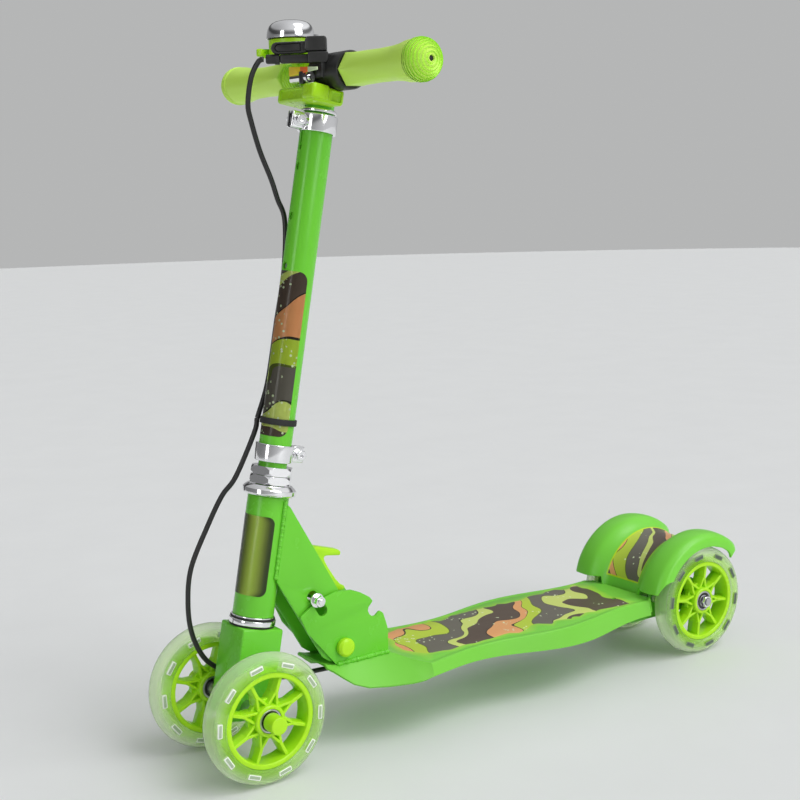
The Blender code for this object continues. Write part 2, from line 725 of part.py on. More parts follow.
def build_bracket(finishes, parent):
    """Make the channel that carries the rear axle under the fender."""
    side = [
        (182, 52), (182, 69.0), (214, 69.0), (217, 75), (230, 80), (284, 80), (293, 70),
        (293, 54), (286, 46), (190, 46),
    ]
    wall = BRACKET_OUTER - BRACKET_INNER
    middle = (BRACKET_OUTER + BRACKET_INNER) / 2
    sides = [
        plate(f"bracket_side_{i}", [side], wall, at((x, 0, 0), SIDE))
        for i, x in enumerate((middle, -middle))
    ]
    web = box(
        "rear_bracket", (-BRACKET_INNER - 0.5, 182, 66.6), (BRACKET_INNER + 0.5, 211.5, 69.0)
    )
    axle_frame = at((0, WHEELBASE / 2, WHEEL_RADIUS), SIDE)
    sleeve = pipe("axle_sleeve", 8.0, AXLE_RADIUS + GAP, -38, 38, axle_frame, 16)
    bore = disc("axle_bore", AXLE_RADIUS + GAP, -60, 60, axle_frame, 16)
    pin_bore = disc("pin_bore", 2.8, -60, 60, at(FENDER_PIN, SIDE), 10)
    keep(cut(join(web, *sides, sleeve), bore, pin_bore), parent, finishes["dark_green"])
    pin = both_ways([(0, 42.2), (4.5, 42.2), (4.5, BRACKET_OUTER + GAP), (2.5, BRACKET_OUTER + GAP)])
    keep(lathe("fender_pin", pin, at(FENDER_PIN, SIDE), 10), parent, finishes["steel"])


def fender_profile():
    """Return the fender's outer section as (x, radius about the rear axle)."""
    half = [
        (0, 62.5), (17, 63.5), (26, 66.5), (34, 72.5), (41, 76.2), (51, 77.0),
        (62, 75.6), (68.0, 71.5), (69.4, 61.8),
    ]
    return [(-x, r) for x, r in reversed(half[1:])] + half


def build_fender(finishes, parent):
    """Sweep the fender around the rear axle, with its hinge lugs and the brake pads."""
    axle = at((0, WHEELBASE / 2, WHEEL_RADIUS), SIDE)
    section = [(r, x) for x, r in reversed(fender_profile())]
    fender = lathe(
        "rear_fender", section, axle, 13, angle=FENDER_FRONT - FENDER_TAIL, offset=FENDER_TAIL
    )
    shell = fender.modifiers.new("Shell", "SOLIDIFY")
    shell.thickness = FENDER_THICKNESS * MM
    shell.offset = -1.0
    shell.use_even_offset = True
    trims = [
        box(f"fender_trim_{i}", (min(a, b), 190, 50), (max(a, b), 235, 79.6))
        for i, (a, b) in enumerate(((29, 80), (-29, -80)))
    ]
    trims.append(box("fender_trim_middle", (-29.5, 190, 50), (29.5, DECK_REAR + 0.8, 77.0)))
    corner = [(196, 70), (203.6, 78.0), (222.3, 92.5), (232, 70)]
    trims += [
        plate(f"skirt_trim_{i}", [corner], 18.0, at((x, 0, 0), SIDE)) for i, x in enumerate((73, -73))
    ]
    lugs = [
        box(f"fender_lug_{i}", (x - 4, 214.9, 63.0), (x + 4, 228, 73.0))
        for i, x in enumerate((-16, 16))
    ]
    bore = disc("lug_bore", 2.8, -30, 30, at(FENDER_PIN, SIDE), 10)
    keep(cut(join(cut(fender, *trims), *lugs), bore), parent, finishes["green"])
    pad_low = WHEEL_RADIUS + PAD_CLEARANCE
    upper = [(62.5, 70.5), (37.5, 70.0), (25.0, 58.6)]
    lower = [(26.5, 55.5), (40.0, 66.5), (44.5, 66.5), (44.5, pad_low), (62.5, pad_low)]
    left_half = [(-x, r) for x, r in reversed(upper)] + [(-x, r) for x, r in reversed(lower)]
    outline = upper + left_half + lower
    upright = at((0, WHEELBASE / 2, WHEEL_RADIUS), turn(90, "X"))
    keep(plate("brake_pad_bar", [outline], 14.0, upright), parent, finishes["rubber"])


def build_inner_tube(finishes, parent, button_parent):
    """Make the sliding tube, its chrome bead and the sprung button in its lowest hole."""
    bore = INNER_TUBE_RADIUS - 1.8
    tube = pipe("inner_tube", INNER_TUBE_RADIUS, bore, INNER_TUBE_BOTTOM, INNER_TUBE_TOP, STEM, 24)
    bead = pipe("tube_bead", 16.2, INNER_TUBE_RADIUS - 1.0, 466.5, 469.5, STEM, 24)
    keep(
        cut(join(tube, bead), *button_holes("button_hole", HOLE_DEPTHS[:1], 20)),
        parent, finishes["green"],
    )
    forward = STEM @ at((0, 0, HOLE_DEPTHS[0]), turn(90, "X"))
    button = lathe(
        "snap_button",
        [(0, 13.1), (2.2, 13.1), (3.2, 12.1), (3.2, 6.5), (4.8, 6.5), (4.8, 4.9), (0, 4.9)], forward, 12,
    )
    leaf = box("button_leaf", (-2.5, 5.9, -30), (2.5, 6.9, 4), STEM @ at((0, -12.6, HOLE_DEPTHS[0])))
    keep(join(button, leaf), button_parent, finishes["steel"])


def build_bar(finishes, parent):
    """Make the cross bar, the joint that holds it, and the two grips."""
    frame = at(BAR_CENTRE, SIDE)
    bore = BAR_RADIUS - 1.6
    bar = pipe("handlebar_tube", BAR_RADIUS, bore, -BAR_HALF_LENGTH, BAR_HALF_LENGTH, frame, 20)
    keep(bar, parent, finishes["chrome"])
    block = box("t_joint", (-32, -27, 472), (32, 5, 486), STEM, 3.0)
    sleeve = disc("joint_sleeve", 14.8, -21.0, 1.4, frame, 20)
    saddle = box("joint_saddle", (-20, -12, 480), (1, 4, 500), STEM, 1.0)
    boss = box("joint_boss", (15, -30, 473.5), (34, -12, 487.0), STEM, 1.5)
    bar_bore = disc("bar_bore", BAR_RADIUS + GAP, -60, 60, frame, 20)
    clearances = [
        disc("perch_clearance", PERCH_RADIUS + GAP, 1.7, 60, frame, 20),
        disc("bell_clearance", BELL_BAND_RADIUS + GAP, -60, -21.1, frame, 20),
    ]
    tube_bore = disc("tube_bore", INNER_TUBE_RADIUS + GAP, 460, INNER_TUBE_TOP + 0.5, STEM, 24)
    body = join(cut(join(block, boss), *clearances), sleeve, saddle)
    keep(cut(body, tube_bore, bar_bore), parent, finishes["lime"])
    grip = [
        (4.0, GRIP_END - 0.4), (11.0, GRIP_END - 2.0), (15.6, GRIP_END - 6.0), (18.0, GRIP_END - 11.0),
        (18.4, 149.0), (17.5, 140.0), (15.4, 129.0), (14.3, 117.0), (14.0, 90.0),
        (14.4, 72.0), (15.2, GRIP_START + 5), (15.5, GRIP_START), (BAR_RADIUS + GAP, GRIP_START),
        (BAR_RADIUS + GAP, BAR_HALF_LENGTH + 1), (2.5, BAR_HALF_LENGTH + 1), (2.5, GRIP_END),
    ]
    for side, basis in (("left", SIDE), ("right", turn(180, "Z") @ SIDE)):
        shape = lathe(side + "_grip", grip, at(BAR_CENTRE, basis), 20, ring=True)
        keep(shape, parent, finishes["lime"])


def build_brake_lever(finishes, parent, lever_parent):
    """Make the lever's clamp, its bolt, pin and cable adjuster, and the hand lever."""
    frame = at(BAR_CENTRE, SIDE)
    reach = at(LEVER_PIVOT, turn(LEVER_HEADING, "Z"))
    sleeve = disc("brake_perch", PERCH_RADIUS, 2.0, CLAMP_END, frame, 20)
    mount = box("perch_mount", (-9, -9, -10), (9, 9, -0.4), reach, 1.0)
    web = box("perch_web", (8.7, -178.4, 618.6), (30.1, -166.0, 635.0))
    arm = box("perch_arm", (0, -4.5, -9.5), (34, 4.5, -2.0), reach, 1.0)
    lug = box("pinch_lug", (7.6, -189, 614.8), (14, -171, 625.6))
    bore = disc("perch_bore", BAR_RADIUS + GAP, -60, 60, frame, 20)
    bolt_bore = disc("pinch_bore", 2.8, 5, 16, at(PINCH_BOLT, SIDE), 12)
    keep(cut(join(sleeve, web, mount, arm, lug), bolt_bore, bore), parent, finishes["black"])
    pin = [(0, 14.6), (3.8, 14.6), (3.8, 13.4), (2.0, 13.4), (2.0, -0.1), (0, -0.1)]
    keep(lathe("lever_pin", pin, reach, 16), parent, finishes["steel"])
    tip = reach @ at((34.3, 0, -5.5), turn(90, "Y"))
    barrel = lathe(
        "barrel_adjuster",
        [(0, 12), (3.4, 12), (4.2, 10.5), (4.2, 4.0), (5.0, 4.0), (5.0, 0), (0, 0)], tip, 12,
    )
    keep(barrel, parent, finishes["black"])
    bolt = [
        (0, 20.5), (2.4, 20.5), (2.4, 18.6), (5.0, 18.6), (5.0, 14.4), (2.4, 14.4),
        (2.4, 7.6), (4.6, 7.6), (4.6, -10.0), (0, -10.0),
    ]
    keep(lathe("perch_bolt", bolt, at(PINCH_BOLT, SIDE), 12), parent, finishes["chrome"])
    block = box("brake_lever", (-8, -7.5, 0), (9, 7.5, 13), reach, 1.5)
    blade = box("lever_blade", (6, -5, 0.6), (LEVER_REACH, 5, 12.4), reach, 2.0)
    channel = box("lever_channel", (11, 1, 2.6), (LEVER_REACH - 3, 8, 10.4), reach)
    hole = disc("lever_hole", 2.0 + GAP, -5, 20, reach, 16)
    keep(cut(join(block, blade), channel, hole), lever_parent, finishes["black"])


def build_bell(finishes, parent, striker_parent):
    """Make the bell's clamp and base, its dome and the thumb tab."""
    frame = at(BELL_CENTRE)
    base = lathe(
        "bell_base",
        [
            (0, BELL_BASE_TOP), (18.6, BELL_BASE_TOP), (20.2, BELL_BASE_TOP - 1), (20.2, 2.0),
            (17.0, 0.0), (0, 0.0),
        ],
        frame, 24,
    )
    band = disc("bell_band", BELL_BAND_RADIUS, -CLAMP_END, -21.4, at(BAR_CENTRE, SIDE), 20)
    stalk = box("bell_stalk", (-33, -172, 628), (-21.6, -152, 643))
    bore = disc("bell_bore", BAR_RADIUS + GAP, -60, 60, at(BAR_CENTRE, SIDE), 20)
    keep(cut(join(base, band, stalk), bore), parent, finishes["lime"])
    dome = [
        (0, 33.5), (8, 32.8), (15, 30.2), (19.6, 26.0), (21.6, 20.5), (BELL_RADIUS, 18.5),
        (BELL_RADIUS, BELL_BASE_TOP + 0.3), (20.5, BELL_BASE_TOP + 0.3), (19.9, 20.0), (18.0, 24.8),
        (13.8, 28.6), (7.4, 30.9), (0, 31.5),
    ]
    keep(lathe("bell_dome", dome, frame, 20), parent, finishes["chrome"])
    tab = box("bell_striker", (-3, -14.0, -1.0), (3, 0, 6.0), striker_parent.matrix_world, 1.0)
    hub = disc("striker_hub", 3.6, -1.4, 6.4, striker_parent.matrix_world, 12)
    keep(join(tab, hub), striker_parent, finishes["lime"])


def build_cables(finishes, handlebar, steering, deck):
    """Lay the brake cable in three stretches that meet across the moving joints."""
    bar_route = [
        (-6.9, -215.4, 636.5), (-9.6, -218.9, 635.2), (-17.0, -223.0, 621.8), (-25.0, -223.0, 599.0),
        (-27.5, -219.0, 583.7), (-28.0, -211.0, 557.4), (-26.0, -201.7, 532.3), (-24.0, -196.9, 514.1),
        (-21.5, -191.5, 493.9), (-20.5, -195.0, 450.0), (-20.0, -206.0, 400.0), (-19.6, -213.5, 365.0),
        (-18.5, -220.2, 341.5), (-15.8, -231.0, 319.0), (-15.5, -232.5, 316.4),
    ]
    stem_route = [
        (-15.4, -232.9, 315.6), (-15.0, -236.5, 303.0), (-19.0, -255.5, 264.0), (-23.0, -268.5, 247.3),
        (-25.0, -283.8, 220.5), (-26.0, -301.5, 185.0), (-27.0, -306.0, 153.8), (-28.0, -303.8, 125.5),
        (-28.0, -295.0, 101.8), (-28.0, -282.6, 87.3), (-27.0, -262.0, 75.0), (-26.0, -245.0, 69.0),
        (-26.0, -226.3, 63.5), (-26.0, -206.5, 59.0), (-25.0, -186.0, 57.6),
    ]
    deck_route = [
        (-24.9, -185.2, 57.6), (-23.5, -175.0, 57.7), (-22.0, -155.0, 58.2), (-18.0, -120.0, 61.0),
        (-14.0, -60.0, 64.0), (-14.0, 20.0, 64.0), (-14.0, 100.0, 63.0), (-14.0, 170.0, 61.0),
        (-14.0, 215.0, 58.0), (-14.0, 244.0, 60.0),
    ]
    stretches = (
        ("bar_cable", bar_route, handlebar), ("stem_cable", stem_route, steering),
        ("deck_cable", deck_route, deck),
    )
    for name, route, parent in stretches:
        keep(cable(name, route, CABLE_RADIUS, 14.0), parent, finishes["black"])


def make_finishes():
    """Return the materials by their short names."""
    return {
        "green": finish_of("powder_green", (0.12, 0.56, 0.06), 0.35, 0.0),
        "dark_green": finish_of("powder_dark_green", (0.04, 0.30, 0.02), 0.45, 0.0),
        "lime": finish_of("lime_plastic", (0.33, 0.75, 0.03), 0.40, 0.0),
        "clear": finish_of("clear_tyre", (0.72, 0.84, 0.66), 0.25, 0.0),
        "chrome": finish_of("chrome", (0.80, 0.80, 0.80), 0.15, 1.0),
        "steel": finish_of("steel", (0.55, 0.55, 0.55), 0.35, 1.0),
        "black": finish_of("black_plastic", (0.02, 0.02, 0.02), 0.45, 0.0),
        "rubber": finish_of("black_rubber", (0.015, 0.015, 0.015), 0.75, 0.0),
    }


def main():
    global PARTS, CUTTERS
    clear_scene()
    PARTS = new_collection("folding_scooter")
    CUTTERS = new_collection("construction_shapes")
    finishes = make_finishes()

    fold = pivot_empty("fold_axis", at(PIVOT))
    lock = pivot_empty("lock_slide", NECK, fold)
    steering = pivot_empty("steering_axis", STEM, fold)
    handlebar = pivot_empty("height_slide", STEM, steering)
    button = pivot_empty("button_slide", STEM @ at((0, 0, HOLE_DEPTHS[0])), handlebar)
    lever = pivot_empty("lever_axis", at(LEVER_PIVOT), handlebar)
    striker_place = (-44.5, -191.5, BELL_CENTRE[2] + 2.0)
    striker = pivot_empty("striker_axis", at(striker_place, turn(35, "Z")), handlebar)
    fender = pivot_empty("fender_axis", at(FENDER_PIN))

    build_wheels(finishes, steering, None)
    build_front_axle(finishes, steering)
    build_rear_axle(finishes, None)
    build_truck(finishes, steering)
    build_headset(finishes, fold, steering)
    build_upright(finishes, steering)
    build_clamp(finishes, steering, "lower_clamp", LOWER_CLAMP_DEPTH, 1)
    build_clamp(finishes, steering, "top_clamp", TOP_CLAMP_DEPTH, -1)
    build_deck(finishes, None)
    build_cheeks(finishes, None)
    build_pivot(finishes, None)
    build_neck(finishes, fold)
    build_lock(finishes, lock)
    build_bracket(finishes, None)
    build_fender(finishes, fender)
    build_inner_tube(finishes, handlebar, button)
    build_bar(finishes, handlebar)
    build_brake_lever(finishes, handlebar, lever)
    build_bell(finishes, handlebar, striker)
    build_cables(finishes, handlebar, steering, None)
    bpy.context.view_layer.update()


main()
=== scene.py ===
"""Folding four-wheel scooter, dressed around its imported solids.

The scooter stands on z = 0 with its origin midway between the axles. +X is the
rider's left, -Y is forward and +Z is up. Sizes are millimetres until a mesh is made.
"""

import logging
import math
from collections.abc import Sequence
from dataclasses import dataclass
from enum import Enum
from functools import cache

import bmesh
import bpy
from bmesh.types import BMesh, BMVert
from bpy.types import ID, Material, Mesh, Node, NodeOutputs, NodeSocket, NodeTree, Object
from mathutils import Matrix, Vector


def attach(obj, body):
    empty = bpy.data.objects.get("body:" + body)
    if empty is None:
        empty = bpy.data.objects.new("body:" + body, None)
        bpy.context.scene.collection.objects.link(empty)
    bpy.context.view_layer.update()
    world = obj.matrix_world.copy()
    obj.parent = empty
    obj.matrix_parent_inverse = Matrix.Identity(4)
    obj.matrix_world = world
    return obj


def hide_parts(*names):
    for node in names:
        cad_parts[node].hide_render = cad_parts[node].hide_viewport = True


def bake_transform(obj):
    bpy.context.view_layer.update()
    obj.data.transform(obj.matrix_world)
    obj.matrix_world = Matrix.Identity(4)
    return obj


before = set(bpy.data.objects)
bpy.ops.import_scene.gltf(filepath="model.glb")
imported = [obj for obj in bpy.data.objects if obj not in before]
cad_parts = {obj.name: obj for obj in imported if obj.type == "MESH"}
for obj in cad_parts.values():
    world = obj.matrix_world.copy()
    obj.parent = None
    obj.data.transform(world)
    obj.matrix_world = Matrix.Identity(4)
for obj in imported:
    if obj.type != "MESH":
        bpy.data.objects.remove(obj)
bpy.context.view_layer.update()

LOG = logging.getLogger("scooter")
MM = 0.001
TINY = 1e-6

Flat = list[tuple[float, float]]
Rgb = tuple[float, float, float]
Feed = float | tuple | NodeSocket


def at(point: Sequence[float], basis: Matrix | None = None) -> Matrix:
    """Return the matrix of a place in millimetres, turned by an optional basis."""
    place = Matrix.Translation(Vector(point) * MM)
    return place @ basis if basis else place


def turn(degrees: float, axis: str) -> Matrix:
    """Return a rotation about a main axis."""
    return Matrix.Rotation(math.radians(degrees), 4, axis)


BAR_CENTRE = (0.0, -159.9, 624.6)
BELL_CENTRE = (-28.0, -174.0, 641.0)
PIVOT = (0.0, -171.7, 95.1)
AXLE_HEIGHT = 60.0
HALF_WHEELBASE = 276.2

ORIGIN = Matrix.Identity(4)
SIDE = Matrix(((0, 0, 1, 0), (1, 0, 0, 0), (0, 1, 0, 0), (0, 0, 0, 1)))
STEM = at((0.0, -255.5, 131.9), turn(-11.28, "X"))
NECK = at(PIVOT, turn(29.4, "X") @ SIDE)
BAR = at(BAR_CENTRE, SIDE)
OUTWARD = (("left", SIDE), ("right", turn(180, "Z") @ SIDE))
SIGNS = (("left", 1), ("right", -1))


def arc(radius: float, start: float, stop: float, steps: int, centre: tuple[float, float] = (0, 0)) -> Flat:
    """Return points on an arc, with angles in degrees."""
    angles = [math.radians(start + (stop - start) * i / steps) for i in range(steps + 1)]
    return [(centre[0] + radius * math.cos(a), centre[1] + radius * math.sin(a)) for a in angles]


def mirrored(half: Flat) -> Flat:
    """Return a section of (radius, height) with its own mirror image below it."""
    return half + [(radius, -height) for radius, height in reversed(half) if height]


def filleted(
    points: Flat, radius: float, ring: bool = True, segments: int = 3, straight: float = 168.0
) -> Flat:
    """Round the corners of a flat line.

    Args:
        points: the corners in order.
        radius: the rounding in millimetres, cut short where an edge is short.
        ring: whether the line closes on itself.
        segments: the pieces that each corner gets.
        straight: the angle in degrees past which a corner is left alone.

    Returns:
        The denser line.
    """
    most = 0.48
    rounded = []
    for i, point in enumerate(points):
        corner = Vector(point)
        before = Vector(points[i - 1]) - corner
        after = Vector(points[(i + 1) % len(points)]) - corner
        is_end = not ring and i in (0, len(points) - 1)
        if is_end or min(before.length, after.length) < TINY or before.angle(after) > math.radians(straight):
            rounded.append(tuple(point))
            continue
        reach = min(radius / math.tan(before.angle(after) / 2), before.length * most, after.length * most)
        first = corner + before.normalized() * reach
        last = corner + after.normalized() * reach
        for k in range(segments + 1):
            t = k / segments
            rounded.append(tuple(first * (1 - t) ** 2 + corner * (2 * t * (1 - t)) + last * t * t))
    return rounded


def linked(name: str, data: ID) -> Object:
    """Put a mesh, a curve, a lamp or a camera in the scene.

    Args:
        name: the object's name.
        data: what it shows.

    Returns:
        The object.
    """
    obj = bpy.data.objects.new(name, data)
    bpy.context.scene.collection.objects.link(obj)
    return obj


def mesh_of(name: str, shape: BMesh) -> Mesh:
    """Write a shape into a new mesh and free it.

    Args:
        name: the mesh's name.
        shape: the shape.

    Returns:
        The mesh.
    """
    mesh = bpy.data.meshes.new(name)
    shape.to_mesh(mesh)
    shape.free()
    return mesh


def taken(obj: Object, *others: Object) -> BMesh:
    """Take an object's evaluated mesh as a shape, and remove the passing objects.

    Args:
        obj: the passing object that holds the result.
        others: the passing objects that its modifiers use.

    Returns:
        The shape.
    """
    bpy.context.view_layer.update()
    evaluated = obj.evaluated_get(bpy.context.evaluated_depsgraph_get())
    mesh = bpy.data.meshes.new_from_object(evaluated)
    shape = bmesh.new()
    shape.from_mesh(mesh)
    bpy.data.meshes.remove(mesh)
    for passing in (obj, *others):
        bpy.data.objects.remove(passing, do_unlink=True)
    return shape


def as_object(shape: BMesh) -> Object:
    """Put a shape in a passing object and free it."""
    return linked("shape", mesh_of("shape", shape))


def skinned(rows: Sequence[Sequence[Vector]], thickness: float, edge: float = 0.0) -> BMesh:
    """Lay a sheet with an upper side over rows of places.

    Args:
        rows: places in millimetres, as many in each row.
        thickness: how thick the sheet is, below the places.
        edge: the rounding of the sheet's rims.

    Returns:
        The closed shape.
    """
    shape = bmesh.new()
    grid = [[shape.verts.new(place * MM) for place in row] for row in rows]
    for here, there in zip(grid, grid[1:]):
        for i in range(len(here) - 1):
            shape.faces.new((here[i], there[i], there[i + 1], here[i + 1]))
    bmesh.ops.recalc_face_normals(shape, faces=shape.faces)
    if sum(face.normal.z for face in shape.faces) < 0:
        bmesh.ops.reverse_faces(shape, faces=shape.faces)
    skin = as_object(shape)
    sheet = skin.modifiers.new("Sheet", "SOLIDIFY")
    sheet.thickness = thickness * MM
    sheet.offset = -1.0
    sheet.use_even_offset = True
    if edge:
        rims = skin.modifiers.new("Rims", "BEVEL")
        rims.width = edge * MM
        rims.segments = 3
        rims.limit_method = "ANGLE"
        rims.angle_limit = math.radians(50)
    return taken(skin)


def turned(profile: Flat, place: Matrix, steps: int = 72, ring: bool = False, start: float = 0.0) -> BMesh:
    """Turn a profile of (radius, height) points around the place's Z axis.

    Args:
        profile: the section, which touches the axis at both ends or closes on itself.
        place: where the axis stands.
        steps: the pieces around.
        ring: whether the section closes on itself.
        start: the angle of the first point in degrees.

    Returns:
        The closed shape.
    """
    shape = bmesh.new()
    rings = []
    for radius, height in profile:
        count = 1 if radius < TINY else steps
        angles = [math.radians(start + 360 * i / steps) for i in range(count)]
        places = [Vector((radius * math.cos(a), radius * math.sin(a), height)) * MM for a in angles]
        rings.append([shape.verts.new(corner) for corner in places])
    pairs = list(zip(rings, rings[1:]))
    if ring:
        pairs.append((rings[-1], rings[0]))
    for low, high in pairs:
        for i in range(steps):
            j = (i + 1) % steps
            corners = (low[i % len(low)], low[j % len(low)], high[j % len(high)], high[i % len(high)])
            face = list(dict.fromkeys(corners))
            if len(face) > 2:
                shape.faces.new(face)
    bmesh.ops.recalc_face_normals(shape, faces=shape.faces)
    shape.transform(place)
    return shape


def disc(
    radius: float, bottom: float, top: float, place: Matrix, edge: float = 0.4, steps: int = 48
) -> BMesh:
    """Make a cylinder with rounded rims along the place's Z axis.

    Args:
        radius: its radius.
        bottom: the height of its lower end.
        top: the height of its upper end.
        place: where the axis stands.
        edge: the rounding of the rims.
        steps: the pieces around.

    Returns:
        The closed shape.
    """
    profile = [(0, top), (radius, top), (radius, bottom), (0, bottom)]
    if edge:
        profile = filleted(profile, edge, ring=False)
    return turned(profile, place, steps)


def pipe(
    outer: float, inner: float, bottom: float, top: float, place: Matrix, edge: float = 0.3, steps: int = 72
) -> BMesh:
    """Make a tube with rounded rims along the place's Z axis."""
    profile = filleted([(outer, top), (outer, bottom), (inner, bottom), (inner, top)], edge)
    return turned(profile, place, steps, ring=True)


def block(
    low: Sequence[float], high: Sequence[float], place: Matrix, edge: float = 1.0, segments: int = 3
) -> BMesh:
    """Make a box with rounded edges.

    Args:
        low: its lowest corner in the place's axes.
        high: its highest corner.
        place: the axes.
        edge: the rounding of its edges.
        segments: the pieces that each rounding gets.

    Returns:
        The closed shape.
    """
    shape = bmesh.new()
    bmesh.ops.create_cube(shape, size=1.0)
    bmesh.ops.scale(shape, vec=(Vector(high) - Vector(low)) * MM, verts=shape.verts)
    bmesh.ops.translate(shape, vec=(Vector(high) + Vector(low)) / 2 * MM, verts=shape.verts)
    if edge:
        bmesh.ops.bevel(
            shape, geom=shape.edges[:], offset=edge * MM, segments=segments, profile=0.5,
            affect="EDGES", clamp_overlap=True,
        )
    shape.transform(place)
    return shape


def cleaned(shape: BMesh) -> BMesh:
    """Merge a shape's doubles and turn its faces outwards.

    Args:
        shape: the shape, which is changed.

    Returns:
        The same shape.
    """
    bmesh.ops.remove_doubles(shape, verts=shape.verts, dist=TINY)
    bmesh.ops.recalc_face_normals(shape, faces=shape.faces)
    return shape


def plate(outlines: list[Flat], thickness: float, place: Matrix, edge: float = 0.4) -> BMesh:
    """Make a flat plate with rounded rims.

    Args:
        outlines: the outer line first, and then any holes.
        thickness: the full thickness, half each way from the place's plane.
        place: where the plate's plane is.
        edge: the rounding of the rims.

    Returns:
        The closed shape.
    """
    curve = bpy.data.curves.new("plate", "CURVE")
    curve.dimensions = "2D"
    curve.fill_mode = "BOTH"
    curve.extrude = (thickness / 2 - edge) * MM
    curve.bevel_depth = edge * MM
    curve.bevel_resolution = 1
    curve.offset = -edge * MM
    for i, outline in enumerate(outlines):
        area = sum(a[0] * b[1] - b[0] * a[1] for a, b in zip(outline, outline[1:] + outline[:1]))
        if (area > 0) == (i > 0):
            outline = outline[::-1]
        spline = curve.splines.new("POLY")
        spline.points.add(len(outline) - 1)
        for point, (x, y) in zip(spline.points, outline):
            point.co = (x * MM, y * MM, 0, 1)
        spline.use_cyclic_u = True
    shape = cleaned(taken(linked("plate", curve)))
    shape.transform(place)
    return shape


def merged(*shapes: BMesh) -> BMesh:
    """Gather shapes in one, freeing them.

    Args:
        shapes: the shapes, which may overlap.

    Returns:
        The one shape.
    """
    whole = bmesh.new()
    for shape in shapes:
        mesh = mesh_of("shape", shape)
        whole.from_mesh(mesh)
        bpy.data.meshes.remove(mesh)
    return whole


def combined(base: BMesh, others: Sequence[BMesh], operation: str) -> BMesh:
    """Apply one kind of Boolean with each of the other shapes in turn.

    Args:
        base: the shape to start from.
        others: the shapes to combine it with.
        operation: the modifier's own word for what is done.

    Returns:
        The result.
    """
    target = as_object(base)
    tools = [as_object(other) for other in others]
    for tool in tools:
        modifier = target.modifiers.new("Boolean", "BOOLEAN")
        modifier.operation = operation
        modifier.solver = "EXACT"
        modifier.object = tool
    return taken(target, *tools)


def cut(base: BMesh, *tools: BMesh) -> BMesh:
    """Cut the tools out of the base."""
    return combined(base, tools, "DIFFERENCE")


def join(base: BMesh, *others: BMesh) -> BMesh:
    """Fuse the others with the base."""
    return combined(base, others, "UNION")


def smooth_route(points: Sequence[Vector], step: float) -> list[Vector]:
    """Lay a Catmull-Rom curve through points.

    Args:
        points: the points that it passes.
        step: about how far apart the route's points are.

    Returns:
        The close points of the route.
    """
    ends = [points[0] * 2 - points[1], *points, points[-1] * 2 - points[-2]]
    route = []
    for a, b, c, d in zip(ends, ends[1:], ends[2:], ends[3:]):
        count = max(2, round((c - b).length / step))
        for i in range(count):
            t = i / count
            cubic = (b * 3 - a - c * 3 + d) * t**3
            route.append((b * 2 + (c - a) * t + (a * 2 - b * 5 + c * 4 - d) * t**2 + cubic) / 2)
    route.append(Vector(points[-1]))
    return route


def rod(points: Sequence[Sequence[float]], radius: float, step: float = 3.0, resolution: int = 4) -> BMesh:
    """Lay a round rod with closed ends along a smooth route.

    Args:
        points: places on the route in millimetres.
        radius: the rod's radius.
        step: about how far apart its rings are.
        resolution: how finely it is rounded.

    Returns:
        The closed shape.
    """
    curve = bpy.data.curves.new("rod", "CURVE")
    curve.dimensions = "3D"
    curve.bevel_depth = radius * MM
    curve.bevel_resolution = resolution
    curve.use_fill_caps = True
    spline = curve.splines.new("POLY")
    route = smooth_route([Vector(p) for p in points], step)
    spline.points.add(len(route) - 1)
    for point, place in zip(spline.points, route):
        point.co = (*(place * MM), 1)
    return cleaned(taken(linked("rod", curve)))


def rib(
    start: tuple[float, float], stop: tuple[float, float], crest: float, root: float, height: float
) -> BMesh:
    """Make a straight rib with sloping flanks on both faces of a wheel's web.

    Args:
        start: where the rib's centre line starts, in the wheel's plane.
        stop: where it ends.
        crest: the half width along the top.
        root: the half width at the middle plane.
        height: how far the crest stands from the middle plane.

    Returns:
        The closed shape.
    """
    along = Vector((stop[0] - start[0], stop[1] - start[1], 0)).normalized()
    across = Vector((-along.y, along.x, 0))
    right = [(crest, height), (root, 0), (crest, -height)]
    section = filleted(right + [(-w, h) for w, h in reversed(right)], 0.7)
    shape = bmesh.new()
    ends = []
    for point in (start, stop):
        base = Vector((point[0], point[1], 0))
        ends.append([shape.verts.new((base + across * w + Vector((0, 0, h))) * MM) for w, h in section])
    count = len(section)
    for i in range(count):
        shape.faces.new((ends[0][i], ends[0][(i + 1) % count], ends[1][(i + 1) % count], ends[1][i]))
    shape.faces.new(ends[0][::-1])
    shape.faces.new(ends[1])
    bmesh.ops.recalc_face_normals(shape, faces=shape.faces)
    return shape


